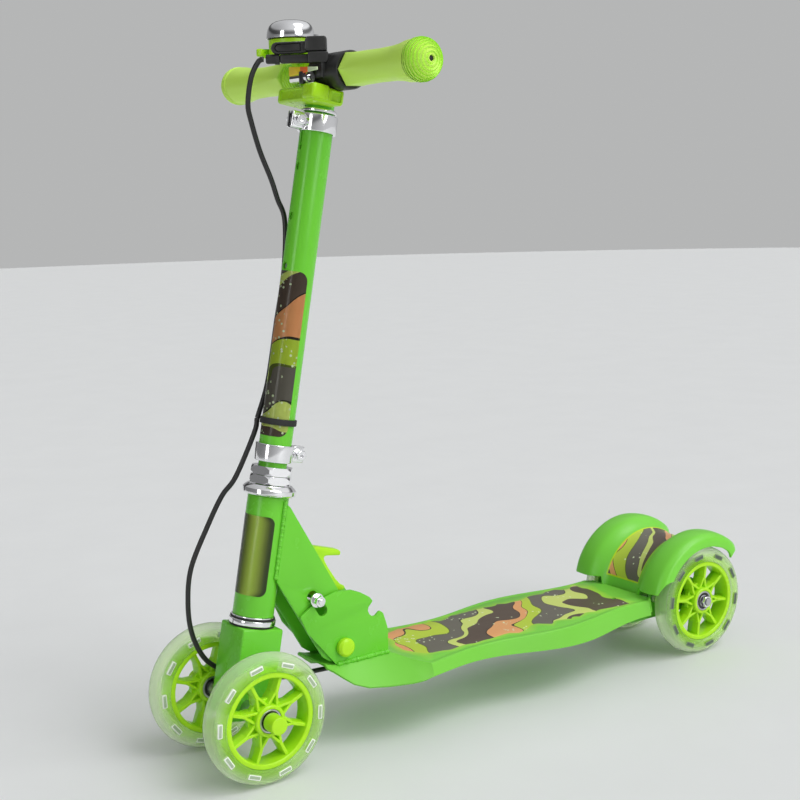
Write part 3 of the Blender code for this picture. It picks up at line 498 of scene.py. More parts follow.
def curved_sheet(
    place: Matrix, radius: float, span: tuple[float, float], depth: tuple[float, float], corner: float,
    thickness: float = 0.15,
) -> BMesh:
    """Make a thin sheet with rounded corners that lies on a tube.

    Args:
        place: the tube's axis.
        radius: the tube's radius.
        span: the first and last angle in degrees.
        depth: the lower and upper end along the axis.
        corner: the rounding of the corners.
        thickness: how far the sheet stands off the tube.

    Returns:
        The shape, with its UV map holding the share across and along.
    """
    count = 48
    half = math.radians(span[1] - span[0]) / 2 * radius
    middle = math.radians(span[1] + span[0]) / 2
    far = radius + thickness
    shares = [(1 - math.cos(math.pi * i / count)) / 2 for i in range(count + 1)]
    shape = bmesh.new()
    layer = shape.loops.layers.uv.new("UVMap")
    grid = []
    for share in shares:
        height = depth[0] + (depth[1] - depth[0]) * share
        near = max(0.0, corner - min(height - depth[0], depth[1] - height))
        width = half - corner + math.sqrt(max(corner * corner - near * near, 0.0))
        angles = [middle + (2 * j / count - 1) * width / radius for j in range(count + 1)]
        places = [Vector((far * math.cos(a), far * math.sin(a), height)) * MM for a in angles]
        grid.append([shape.verts.new(corner_place) for corner_place in places])
    for i in range(count):
        for j in range(count):
            around = ((i, j), (i, j + 1), (i + 1, j + 1), (i + 1, j))
            face = shape.faces.new([grid[a][b] for a, b in around])
            for loop, (a, b) in zip(face.loops, around):
                loop[layer].uv = (b / count, shares[a])
    bmesh.ops.solidify(shape, geom=shape.faces[:], thickness=thickness * 1.6 * MM)
    shape.transform(place)
    return shape


# Node trees


@dataclass(frozen=True)
class Wiring:
    """A node tree that is being wired."""

    tree: NodeTree

    def add(self, kind: str, inputs: dict[str | int, Feed] | None = None, **options: object) -> Node:
        """Add a node.

        Args:
            kind: the node's type.
            inputs: what feeds each input, by name or place.
            options: the node's own settings.

        Returns:
            The node.
        """
        node = self.tree.nodes.new(kind)
        for title, value in options.items():
            setattr(node, title, value)
        self.feed(node, inputs or {})
        return node

    def feed(self, node: Node, inputs: dict[str | int, Feed]) -> None:
        """Feed a node's inputs.

        Args:
            node: the node.
            inputs: a value or another node's output for each input, by name or place.
        """
        for key, value in inputs.items():
            if isinstance(value, NodeSocket):
                self.tree.links.new(value, node.inputs[key])
            else:
                node.inputs[key].default_value = value

    def calc(self, operation: str, *inputs: Feed, clamp: bool = False) -> NodeSocket:
        """Return the result of a Math node, kept from 0 to 1 where asked."""
        options = {"operation": operation, "use_clamp": clamp}
        return self.add("ShaderNodeMath", dict(enumerate(inputs)), **options).outputs[0]

    def share(self, value: Feed, start: Feed, length: float) -> NodeSocket:
        """Return how far a value is along a stretch, from 0 to 1."""
        return self.calc("DIVIDE", self.calc("SUBTRACT", value, start), length, clamp=True)

    def inside(self, value: NodeSocket, low: float, high: float, soft: float) -> NodeSocket:
        """Return a mask that is 1 between two values and falls to 0 over a soft edge."""
        return self.calc("MULTIPLY", self.share(value, low, soft), self.share(high, value, soft))

    def mixed(self, mask: NodeSocket, under: Feed, over: Feed) -> NodeSocket:
        """Return two colours mixed by a mask."""
        inputs = {"Factor": mask, "A": under, "B": over}
        return self.add("ShaderNodeMix", inputs, data_type="RGBA").outputs["Result"]

    def noise(self, where: NodeSocket, scale: Feed, detail: float = 2.0) -> Node:
        """Add a noise pattern."""
        return self.add("ShaderNodeTexNoise", {"Vector": where, "Scale": scale, "Detail": detail})

    def parts(self, vector: NodeSocket) -> list[NodeSocket]:
        """Return a vector's X, Y and Z."""
        return self.add("ShaderNodeSeparateXYZ", {0: vector}).outputs[:]

    def group(self, tree: NodeTree, **inputs: Feed) -> NodeSocket:
        """Place a shader group and return its output."""
        return self.add("ShaderNodeGroup", inputs, node_tree=tree).outputs[0]

    def ramp(
        self, value: NodeSocket, stops: Sequence[tuple[float, Rgb]], interpolation: str = "LINEAR"
    ) -> NodeSocket:
        """Colour a value by a ramp.

        Args:
            value: the value, from 0 to 1.
            stops: the ramp's places and colours in order.
            interpolation: how it passes from one to the next.

        Returns:
            The colour.
        """
        node = self.add("ShaderNodeValToRGB", {"Fac": value})
        node.color_ramp.interpolation = interpolation
        elements = node.color_ramp.elements
        while len(elements) < len(stops):
            elements.new(0.5)
        for element, (place, colour) in zip(elements, stops):
            element.position = place
            element.color = (*colour, 1.0)
        return node.outputs["Color"]


def started_group(
    name: str, kind: str, inputs: dict[str, str | float | tuple], output: tuple[str, str]
) -> tuple[Wiring, NodeOutputs]:
    """Start a node group with named sockets.

    Args:
        name: the group's name.
        kind: the type of its tree.
        inputs: by name, a default value or the kind of a socket that has none.
        output: the output's name and kind.

    Returns:
        The group's wiring and the sockets that bring its inputs.
    """
    tree = bpy.data.node_groups.new(name, kind)
    for title, value in inputs.items():
        word = value if isinstance(value, str) else "Color" if isinstance(value, tuple) else "Float"
        socket = tree.interface.new_socket(title, in_out="INPUT", socket_type="NodeSocket" + word)
        if not isinstance(value, str):
            socket.default_value = value
    tree.interface.new_socket(output[0], in_out="OUTPUT", socket_type="NodeSocket" + output[1])
    return Wiring(tree), tree.nodes.new("NodeGroupInput").outputs


@cache
def repeating_tree() -> NodeTree:
    """Build the tree that repeats a shape around the Z axis.

    Returns:
        The tree, built once.
    """
    sockets = {"Shape": "Geometry", "Count": "Int", "Phase": "Float", "Finish": "Material"}
    wires, given = started_group(
        "repeat around the axis", "GeometryNodeTree", sockets, ("Shape", "Geometry")
    )
    instance = wires.add("GeometryNodeGeometryToInstance", {0: given["Shape"]}).outputs[0]
    inputs = {"Geometry": instance, "Amount": given["Count"]}
    copies = wires.add("GeometryNodeDuplicateElements", inputs, domain="INSTANCE").outputs
    step = wires.calc("DIVIDE", math.tau, given["Count"])
    angle = wires.calc("ADD", wires.calc("MULTIPLY", copies["Duplicate Index"], step), given["Phase"])
    vector = wires.add("ShaderNodeCombineXYZ", {"Z": angle}).outputs[0]
    inputs = {"Instances": copies["Geometry"], "Rotation": vector}
    shape = wires.add("GeometryNodeRotateInstances", inputs).outputs[0]
    shape = wires.add("GeometryNodeRealizeInstances", {0: shape}).outputs[0]
    shape = wires.add("GeometryNodeMergeByDistance", {0: shape, "Distance": TINY}).outputs[0]
    shape = wires.add("GeometryNodeSetMaterial", {0: shape, "Material": given["Finish"]}).outputs[0]
    wires.add("NodeGroupOutput", {0: shape})
    return wires.tree


@cache
def bead_tree() -> NodeTree:
    """Build the tree that lays the overlapping drops of a weld along a line.

    Returns:
        The tree, built once.
    """
    sockets = {"Line": "Geometry", "Pitch": "Float", "Radius": "Float", "Seed": "Int", "Finish": "Material"}
    wires, given = started_group("weld bead", "GeometryNodeTree", sockets, ("Bead", "Geometry"))
    line = wires.add("GeometryNodeMeshToCurve", {0: given["Line"]}).outputs[0]
    inputs = {"Curve": line, "Length": given["Pitch"]}
    points = wires.add("GeometryNodeCurveToPoints", inputs, mode="LENGTH").outputs["Points"]
    inputs = {"Segments": 12, "Rings": 8, "Radius": given["Radius"]}
    drop = wires.add("GeometryNodeMeshUVSphere", inputs).outputs["Mesh"]
    inputs = {2: 0.8, 3: 1.2, "Seed": given["Seed"]}
    size = wires.add("FunctionNodeRandomValue", inputs, data_type="FLOAT").outputs[1]
    inputs = {"Points": points, "Instance": drop, "Scale": size}
    shape = wires.add("GeometryNodeInstanceOnPoints", inputs).outputs[0]
    shape = wires.add("GeometryNodeRealizeInstances", {0: shape}).outputs[0]
    shape = wires.add("GeometryNodeSetMaterial", {0: shape, "Material": given["Finish"]}).outputs[0]
    wires.add("NodeGroupOutput", {0: shape})
    return wires.tree


def grown(shape: BMesh, tree: NodeTree, **values: object) -> BMesh:
    """Run a shape through a Geometry Nodes tree.

    Args:
        shape: what goes in.
        tree: the tree.
        values: its other inputs by name.

    Returns:
        What comes out.
    """
    obj = as_object(shape)
    modifier = obj.modifiers.new("Nodes", "NODES")
    modifier.node_group = tree
    for item in tree.interface.items_tree:
        if item.in_out == "INPUT" and item.name in values:
            modifier[item.identifier] = values[item.name]
    return taken(obj)


def bead_along(line: Sequence[Vector], pitch: float, radius: float) -> BMesh:
    """Lay a weld bead.

    Args:
        line: its places in metres.
        pitch: how far apart its drops are.
        radius: how large they are.

    Returns:
        The bead's drops.
    """
    shape = bmesh.new()
    verts = [shape.verts.new(place) for place in line]
    for pair in zip(verts, verts[1:]):
        shape.edges.new(pair)
    return grown(shape, bead_tree(), Pitch=pitch, Radius=radius, Seed=7, Finish=POWDER.material())


@cache
def tone_group() -> NodeTree:
    """Build the group that drifts slowly between two tones.

    Returns:
        The group, built once.
    """
    white = (1.0, 1.0, 1.0, 1.0)
    sockets = {"Vector": "Vector", "Scale": 12.0, "First": white, "Second": white}
    wires, given = started_group("drifting tone", "ShaderNodeTree", sockets, ("Color", "Color"))
    drift = wires.noise(given["Vector"], given["Scale"], 3.0).outputs["Fac"]
    wires.add("NodeGroupOutput", {"Color": wires.mixed(drift, given["First"], given["Second"])})
    return wires.tree


@cache
def marks_group() -> NodeTree:
    """Build the group that varies roughness with handling.

    Returns:
        The group, built once.
    """
    sockets = {"Vector": "Vector", "Scale": 40.0, "Low": 0.2, "High": 0.4}
    wires, given = started_group("handling marks", "ShaderNodeTree", sockets, ("Value", "Float"))
    inputs = {
        "Value": wires.noise(given["Vector"], given["Scale"], 5.0).outputs["Fac"],
        "From Min": 0.3, "From Max": 0.7, "To Min": given["Low"], "To Max": given["High"],
    }
    wires.add("NodeGroupOutput", {"Value": wires.add("ShaderNodeMapRange", inputs).outputs["Result"]})
    return wires.tree


@cache
def relief_group() -> NodeTree:
    """Build the group that gives a moulded or sprayed surface its relief.

    Returns:
        The group, built once.
    """
    sockets = {"Vector": "Vector", "Scale": 600.0, "Coarse": 0.3}
    wires, given = started_group("surface relief", "ShaderNodeTree", sockets, ("Height", "Float"))
    slower = wires.calc("MULTIPLY", given["Scale"], 0.16)
    fine = wires.noise(given["Vector"], given["Scale"]).outputs["Fac"]
    broad = wires.noise(given["Vector"], slower).outputs["Fac"]
    mix = wires.add("ShaderNodeMix", {"Factor": given["Coarse"], "A": fine, "B": broad})
    wires.add("NodeGroupOutput", {"Height": mix.outputs["Result"]})
    return wires.tree


PRINT_STOPS = (
    (0.00, (0.105, 0.075, 0.055)),
    (0.27, (0.020, 0.018, 0.010)),
    (0.285, (0.790, 0.380, 0.150)),
    (0.42, (0.030, 0.025, 0.012)),
    (0.43, (0.500, 0.660, 0.050)),
    (0.66, (0.110, 0.150, 0.020)),
    (0.675, (0.150, 0.140, 0.110)),
    (0.90, (0.030, 0.035, 0.018)),
    (0.91, (0.620, 0.720, 0.180)),
)
FLECK_TONE = (0.75, 0.85, 0.55, 1.0)
FLECK_SCALE, FLECK_SIZE = 210.0, 0.24


@cache
def print_group() -> NodeTree:
    """Build the group that prints flowing bands and flecks.

    Returns:
        The group, built once.
    """
    sockets = {"Vector": "Vector", "Period": 0.1, "Slant": 0.6, "Swirl": 0.02, "Flecks": 0.5}
    wires, given = started_group("printed bands", "ShaderNodeTree", sockets, ("Color", "Color"))
    where = given["Vector"]
    inputs = {0: wires.noise(where, 16.0, 1.0).outputs["Color"], 1: (0.5, 0.5, 0.5)}
    centred = wires.add("ShaderNodeVectorMath", inputs, operation="SUBTRACT").outputs[0]
    inputs = {0: centred, "Scale": given["Swirl"]}
    swirl = wires.add("ShaderNodeVectorMath", inputs, operation="SCALE").outputs[0]
    warped = wires.add("ShaderNodeVectorMath", {0: where, 1: swirl}, operation="ADD").outputs[0]
    x, y, _ = wires.parts(warped)
    along = wires.calc("ADD", y, wires.calc("MULTIPLY", x, given["Slant"]))
    bands = wires.calc("FRACT", wires.calc("DIVIDE", along, given["Period"]))
    design = wires.ramp(bands, PRINT_STOPS, "CONSTANT")
    cells = wires.add("ShaderNodeTexVoronoi", {"Vector": where, "Scale": FLECK_SCALE})
    small = wires.calc("LESS_THAN", cells.outputs["Distance"], FLECK_SIZE)
    sparse = wires.calc("LESS_THAN", wires.noise(where, 34.0).outputs["Fac"], given["Flecks"])
    flecks = wires.calc("MULTIPLY", small, sparse)
    wires.add("NodeGroupOutput", {"Color": wires.mixed(flecks, design, FLECK_TONE)})
    return wires.tree


# Finishes

DRIFT_SCALE, MARKS_SCALE = 9.0, 35.0
RELIEF_DEPTH = 0.5 * MM
COAT_ROUGHNESS = 0.08


@dataclass(frozen=True)
class Finish:
    """A surface with a drifting tone, handling marks and a fine relief."""

    name: str
    slot: str
    tone: Rgb
    second: Rgb
    roughness: tuple[float, float]
    relief: tuple[float, float] = (600.0, 0.05)
    metallic: float = 0.0
    coat: float = 0.0
    specular: float = 0.5

    def material(self) -> Material:
        """Return the finish's material, made once.

        Returns:
            The material.
        """
        if self.name in bpy.data.materials:
            return bpy.data.materials[self.name]
        material = bpy.data.materials.new(self.name)
        material.use_nodes = True
        material.diffuse_color = (*self.tone, 1.0)
        wires = Wiring(material.node_tree)
        shader = wires.tree.nodes["Principled BSDF"]
        where = wires.add("ShaderNodeTexCoord").outputs["Object"]
        low, high = self.roughness
        relief = wires.group(relief_group(), Vector=where, Scale=self.relief[0])
        inputs = {"Strength": self.relief[1], "Distance": RELIEF_DEPTH, "Height": relief}
        wires.feed(shader, {
            "Base Color": self.colour(wires, where),
            "Roughness": wires.group(marks_group(), Vector=where, Scale=MARKS_SCALE, Low=low, High=high),
            "Metallic": self.metallic,
            "Specular IOR Level": self.specular,
            "Coat Weight": self.coat,
            "Coat Roughness": COAT_ROUGHNESS,
            "Normal": wires.add("ShaderNodeBump", inputs).outputs["Normal"],
        })
        self.extras(wires, shader)
        return material

    def colour(self, wires: Wiring, where: NodeSocket) -> NodeSocket:
        """Return the socket that gives the surface its colour."""
        tones = {"First": (*self.tone, 1.0), "Second": (*self.second, 1.0)}
        return wires.group(tone_group(), Vector=where, Scale=DRIFT_SCALE, **tones)

    def extras(self, wires: Wiring, shader: Node) -> None:
        """Leave the shader as it is."""


@dataclass(frozen=True)
class ClearFinish(Finish):
    """A clear soft plastic, tinted near the rim and milkier where it is seen edge on. The tint is partly its
    own and partly the core's colour painted in, the pale tread is partly a painted highlight, and a painted
    dark edge shades the outline.
    """

    opacity: tuple[float, float] = (0.50, 0.96)
    tinted_radius: float = 48.5
    fade: float = 9.5
    # outline is the colour of a painted dark edge: the shade the clear tyre shows where it is seen edge on.
    outline: Rgb = (0.07, 0.11, 0.065)
    painted_shade_edge_start: float = 0.76
    painted_shade_edge_width: float = 0.16

    def colour(self, wires: Wiring, where: NodeSocket) -> NodeSocket:
        """Pale the tone from the rim to the tread, partly a painted highlight, and darken it at the outline
        as painted shade.

        Args:
            wires: the material's wiring.
            where: the Object coordinates.

        Returns:
            The colour.
        """
        _, y, z = wires.parts(where)
        along = wires.calc("SUBTRACT", wires.calc("ABSOLUTE", y), HALF_WHEELBASE * MM)
        high = wires.calc("SUBTRACT", z, AXLE_HEIGHT * MM)
        squares = [wires.calc("POWER", part, 2.0) for part in (along, high)]
        radius = wires.calc("SQRT", wires.calc("ADD", *squares))
        share = wires.share(radius, self.tinted_radius * MM, self.fade * MM)
        pale = wires.mixed(share, (*self.tone, 1.0), (*self.second, 1.0))
        facing = wires.add("ShaderNodeLayerWeight", {"Blend": 0.5}).outputs["Facing"]
        edge = wires.share(facing, self.painted_shade_edge_start, self.painted_shade_edge_width)
        return wires.mixed(edge, pale, (*self.outline, 1.0))

    def extras(self, wires: Wiring, shader: Node) -> None:
        """Let what is inside show through.

        Args:
            wires: the material's wiring.
            shader: its shader.
        """
        facing = wires.add("ShaderNodeLayerWeight", {"Blend": 0.35}).outputs["Facing"]
        inputs = {"Value": facing, "To Min": self.opacity[0], "To Max": self.opacity[1]}
        alpha = wires.add("ShaderNodeMapRange", inputs).outputs["Result"]
        wires.feed(shader, {"Alpha": alpha, "Transmission Weight": 0.45, "IOR": 1.25})


@dataclass(frozen=True)
class HighlightedLabelFinish(Finish):
    """A label whose tone brightens across its UV map and darkens again: a painted highlight where the curved
    label faces the light.
    """

    dark: tuple[float, float] = (0.40, 0.97)
    painted_highlight_share: float = 0.72

    def colour(self, wires: Wiring, where: NodeSocket) -> NodeSocket:
        """Paint a highlight across the label's width, brightest part way across.

        Args:
            wires: the material's wiring.
            where: the Object coordinates; not used.

        Returns:
            The colour.
        """
        across = wires.parts(wires.add("ShaderNodeUVMap").outputs[0])[0]
        stops = ((self.dark[0], self.tone), (self.painted_highlight_share, self.second), (self.dark[1], self.tone))
        return wires.ramp(across, stops, "EASE")


@dataclass(frozen=True)
class Window:
    """The part of a surface that a design covers, in metres or radians, with soft edges."""

    half: float
    along: tuple[float, float]
    half_soft: float
    along_soft: float

    def mask(self, wires: Wiring, wide: NodeSocket, along: NodeSocket, limit: NodeSocket) -> NodeSocket:
        """Mask the window.

        Args:
            wires: the material's wiring.
            wide: how far a point is from the middle.
            along: where it is along the surface.
            limit: a mask of the side of the surface that is printed.

        Returns:
            The mask.
        """
        strip = wires.inside(wide, -1.0, self.half, self.half_soft)
        stretch = wires.inside(along, *self.along, self.along_soft)
        return wires.calc("MULTIPLY", wires.calc("MULTIPLY", strip, stretch), limit)


class PrintKind(Enum):
    """Where a printed design lies: its soft glow outside, and its own window inside that."""

    DECK = (Window(0.052, (-0.098, 0.192), 0.012, 0.012), Window(0.045, (-0.086, 0.182), 0.0006, 0.0006))
    FENDER = (Window(0.0255, (1.00, 2.80), 0.001, 0.01), Window(0.0240, (1.02, 2.775), 0.0005, 0.01))
    SHEET = ()


@dataclass(frozen=True)
class PrintedFinish(Finish):
    """A painted or moulded surface with a printed design on part of it."""

    kind: PrintKind = PrintKind.DECK
    period: float = 0.1
    slant: float = 0.6
    swirl: float = 0.02
    flecks: float = 0.45
    glow: Rgb = (0.42, 0.70, 0.06)
    sheet_top: float = 0.450
    deck_print_height: float = 0.0708
    fender_print_radius: float = 0.0611

    def colour(self, wires: Wiring, where: NodeSocket) -> NodeSocket:
        """Lay the design over the plain tone.

        Args:
            wires: the material's wiring.
            where: the Object coordinates.

        Returns:
            The colour.
        """
        x, y, z = wires.parts(where)
        if self.kind is PrintKind.SHEET:
            inputs = {"X": x, "Y": wires.calc("SUBTRACT", self.sheet_top, z), "Z": y}
            return self.design(wires, wires.add("ShaderNodeCombineXYZ", inputs).outputs[0])
        surface = self.on_deck if self.kind is PrintKind.DECK else self.on_fender
        coordinates = surface(wires, where, (x, y, z))
        halo, core = (window.mask(wires, *coordinates) for window in self.kind.value)
        ringed = wires.mixed(halo, super().colour(wires, where), (*self.glow, 1.0))
        return wires.mixed(core, ringed, self.design(wires, where))

    def on_deck(
        self, wires: Wiring, where: NodeSocket, place: Sequence[NodeSocket]
    ) -> tuple[NodeSocket, NodeSocket, NodeSocket]:
        """Read the deck's coordinates, with a wave along the design's edge.

        Args:
            wires: the material's wiring.
            where: the Object coordinates.
            place: their X, Y and Z.

        Returns:
            The distance from the middle, the place along, and a mask of the flat top.
        """
        x, y, z = place
        waves = wires.noise(where, 22.0, 1.5).outputs["Fac"]
        wave = wires.calc("MULTIPLY", wires.calc("SUBTRACT", waves, 0.5), 0.05)
        wide = wires.calc("ADD", wires.calc("ABSOLUTE", x), wires.calc("ABSOLUTE", wave))
        top = wires.calc("GREATER_THAN", z, self.deck_print_height)
        return wide, wires.calc("ADD", y, wave), top

    def on_fender(
        self, wires: Wiring, where: NodeSocket, place: Sequence[NodeSocket]
    ) -> tuple[NodeSocket, NodeSocket, NodeSocket]:
        """Read the fender's coordinates around the rear axle.

        Args:
            wires: the material's wiring.
            where: the Object coordinates; not used.
            place: their X, Y and Z.

        Returns:
            The distance from the middle, the bearing about the axle, and a mask of the outside.
        """
        x, y, z = place
        rear = wires.calc("SUBTRACT", y, HALF_WHEELBASE * MM)
        high = wires.calc("SUBTRACT", z, AXLE_HEIGHT * MM)
        squares = [wires.calc("POWER", part, 2.0) for part in (rear, high)]
        outside = wires.calc("GREATER_THAN", wires.calc("ADD", *squares), self.fender_print_radius**2)
        return wires.calc("ABSOLUTE", x), wires.calc("ARCTAN2", high, rear), outside

    def design(self, wires: Wiring, where: NodeSocket) -> NodeSocket:
        """Return the design's own colour."""
        sizes = {"Period": self.period, "Slant": self.slant, "Swirl": self.swirl, "Flecks": self.flecks}
        return wires.group(print_group(), Vector=where, **sizes)


POWDER = Finish(
    "powder green", "powder_green", (0.145, 0.585, 0.030), (0.160, 0.620, 0.038),
    (0.18, 0.30), (900.0, 0.08), specular=0.35,
)
# A darker copy of the powder green, used only on the axle channel under the fender.
DARK_POWDER = Finish(
    "powder dark green", "powder_dark_green", (0.060, 0.30, 0.008), (0.070, 0.33, 0.012),
    (0.30, 0.42), (900.0, 0.08),
)
# Its plain tone is the powder green made paler, partly a painted sheen for the deck's flanks.
DECK_PRINT = PrintedFinish(
    "deck powder green with print", "powder_green", (0.180, 0.585, 0.050), (0.200, 0.620, 0.062),
    (0.34, 0.44), (900.0, 0.08), specular=0.30,
    kind=PrintKind.DECK, period=0.150, slant=0.8, swirl=0.12, flecks=0.42,
)
FENDER_PLASTIC = PrintedFinish(
    "fender plastic with print", "fender_green", (0.180, 0.660, 0.040), (0.200, 0.700, 0.050),
    (0.30, 0.40), (500.0, 0.05), specular=0.50,
    kind=PrintKind.FENDER, period=0.085, slant=0.8, swirl=0.09, flecks=0.40, glow=(0.60, 0.80, 0.00),
)
STICKER = PrintedFinish(
    "upright sticker print", "powder_green", (0.1, 0.2, 0.05), (0.1, 0.2, 0.05),
    (0.15, 0.22), (300.0, 0.02), specular=0.4,
    kind=PrintKind.SHEET, period=0.150, slant=0.35, swirl=0.10, flecks=0.56,
)
LIME = Finish(
    "lime plastic", "lime_plastic", (0.420, 0.800, 0.012), (0.450, 0.830, 0.018),
    (0.24, 0.36), (420.0, 0.05), specular=0.35,
)
LIME_SOFT = Finish(
    "lime soft grip", "lime_rubber", (0.620, 0.960, 0.120), (0.640, 0.975, 0.135),
    (0.34, 0.46), (700.0, 0.08), specular=0.4,
)
# Lime near the rim, partly the plastic's tint and partly the core's colour painted in, paling to a tread tone
# that is partly a painted highlight.
CLEAR = ClearFinish(
    "clear tyre", "clear_tyre", (0.46, 0.92, 0.05), (0.90, 1.00, 0.76), (0.06, 0.16), (120.0, 0.02)
)
WHITE_FRAME = Finish(
    "white light frame", "clear_tyre", (0.86, 0.90, 0.84), (0.92, 0.95, 0.90), (0.25, 0.35)
)
PALE_LIGHT = Finish(
    "pale light piece", "clear_tyre", (0.30, 0.40, 0.24), (0.42, 0.52, 0.36), (0.25, 0.35)
)
GREY_FRAME = Finish(
    "grey light frame", "clear_tyre", (0.13, 0.18, 0.12), (0.18, 0.24, 0.16), (0.25, 0.35)
)
DARK_LIGHT = Finish(
    "dark light piece", "clear_tyre", (0.06, 0.09, 0.06), (0.10, 0.14, 0.10), (0.25, 0.35)
)
CHROME = Finish(
    "chrome plating", "chrome", (0.93, 0.93, 0.94), (0.89, 0.89, 0.91),
    (0.05, 0.14), (80.0, 0.02), metallic=1.0,
)
STEEL = Finish(
    "turned steel", "steel", (0.58, 0.58, 0.60), (0.50, 0.50, 0.52),
    (0.24, 0.38), (1200.0, 0.10), metallic=1.0,
)
BLACK = Finish(
    "black moulding", "black_plastic", (0.012, 0.012, 0.012), (0.020, 0.020, 0.019),
    (0.30, 0.46), (800.0, 0.12),
)
CABLE_BLACK = Finish(
    "black cable cover", "black_rubber", (0.009, 0.009, 0.009), (0.015, 0.015, 0.015), (0.28, 0.42)
)
RUBBER = Finish(
    "black rubber", "black_rubber", (0.010, 0.010, 0.010), (0.018, 0.018, 0.017),
    (0.55, 0.70), (800.0, 0.20),
)
# The olive label's brighter second tone is a painted highlight across its width.
LABEL = HighlightedLabelFinish(
    "olive label with painted highlight", "powder_green", (0.045, 0.075, 0.010), (0.58, 0.76, 0.11), (0.18, 0.24), coat=0.3
)
YELLOW_TAG = Finish("yellow tag", "lime_plastic", (0.96, 0.66, 0.01), (0.98, 0.70, 0.02), (0.35, 0.45))
RED_TAG = Finish("red stripe", "lime_plastic", (0.86, 0.14, 0.01), (0.90, 0.17, 0.02), (0.35, 0.45))
PALE_TAG = Finish("pale tip", "lime_plastic", (0.62, 0.76, 0.46), (0.68, 0.80, 0.50), (0.35, 0.45))
PALE_FLOOR = Finish("pale floor", "floor", (0.76, 0.77, 0.77), (0.80, 0.81, 0.81), (0.55, 0.65), (60.0, 0.02))


def smooth(mesh: Mesh, finish: Finish, sharp: float) -> None:
    """Give a mesh its finish and its shading.

    Args:
        mesh: the mesh.
        finish: its surface.
        sharp: the angle in degrees past which an edge stays sharp.
    """
    mesh.materials.clear()
    mesh.materials.append(finish.material())
    mesh.shade_smooth()
    mesh.set_sharp_from_angle(angle=math.radians(sharp))


def piece(name: str, shape: BMesh, finish: Finish, body: str, *replaced: str, sharp: float = 38.0) -> None:
    """Keep a shape as a piece of the scooter.

    Args:
        name: the piece's name.
        shape: its closed shape, already in place.
        finish: its surface.
        body: the CAD body that it rides on.
        replaced: the CAD nodes that it stands for.
        sharp: the angle in degrees past which an edge stays sharp.
    """
    mesh = mesh_of(name, shape)
    obj = linked(name, mesh)
    smooth(mesh, finish, sharp)
    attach(obj, body)
    if replaced:
        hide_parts(*replaced)
    LOG.info("%s: %d faces on %s", name, len(mesh.polygons), body)


def dress(finish: Finish, *nodes: str) -> None:
    """Give CAD nodes that stay in view a finish.

    Args:
        finish: their surface.
        nodes: their names.
    """
    for node in nodes:
        smooth(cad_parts[node].data, finish, 35.0)
        LOG.info("%s: dressed in %s", node, finish.name)


# Sub-assemblies


class LightPieces(Enum):
    """The frames and the faces of the light pieces cast in a tyre."""

    PALE = (WHITE_FRAME, PALE_LIGHT)
    DARK = (GREY_FRAME, DARK_LIGHT)


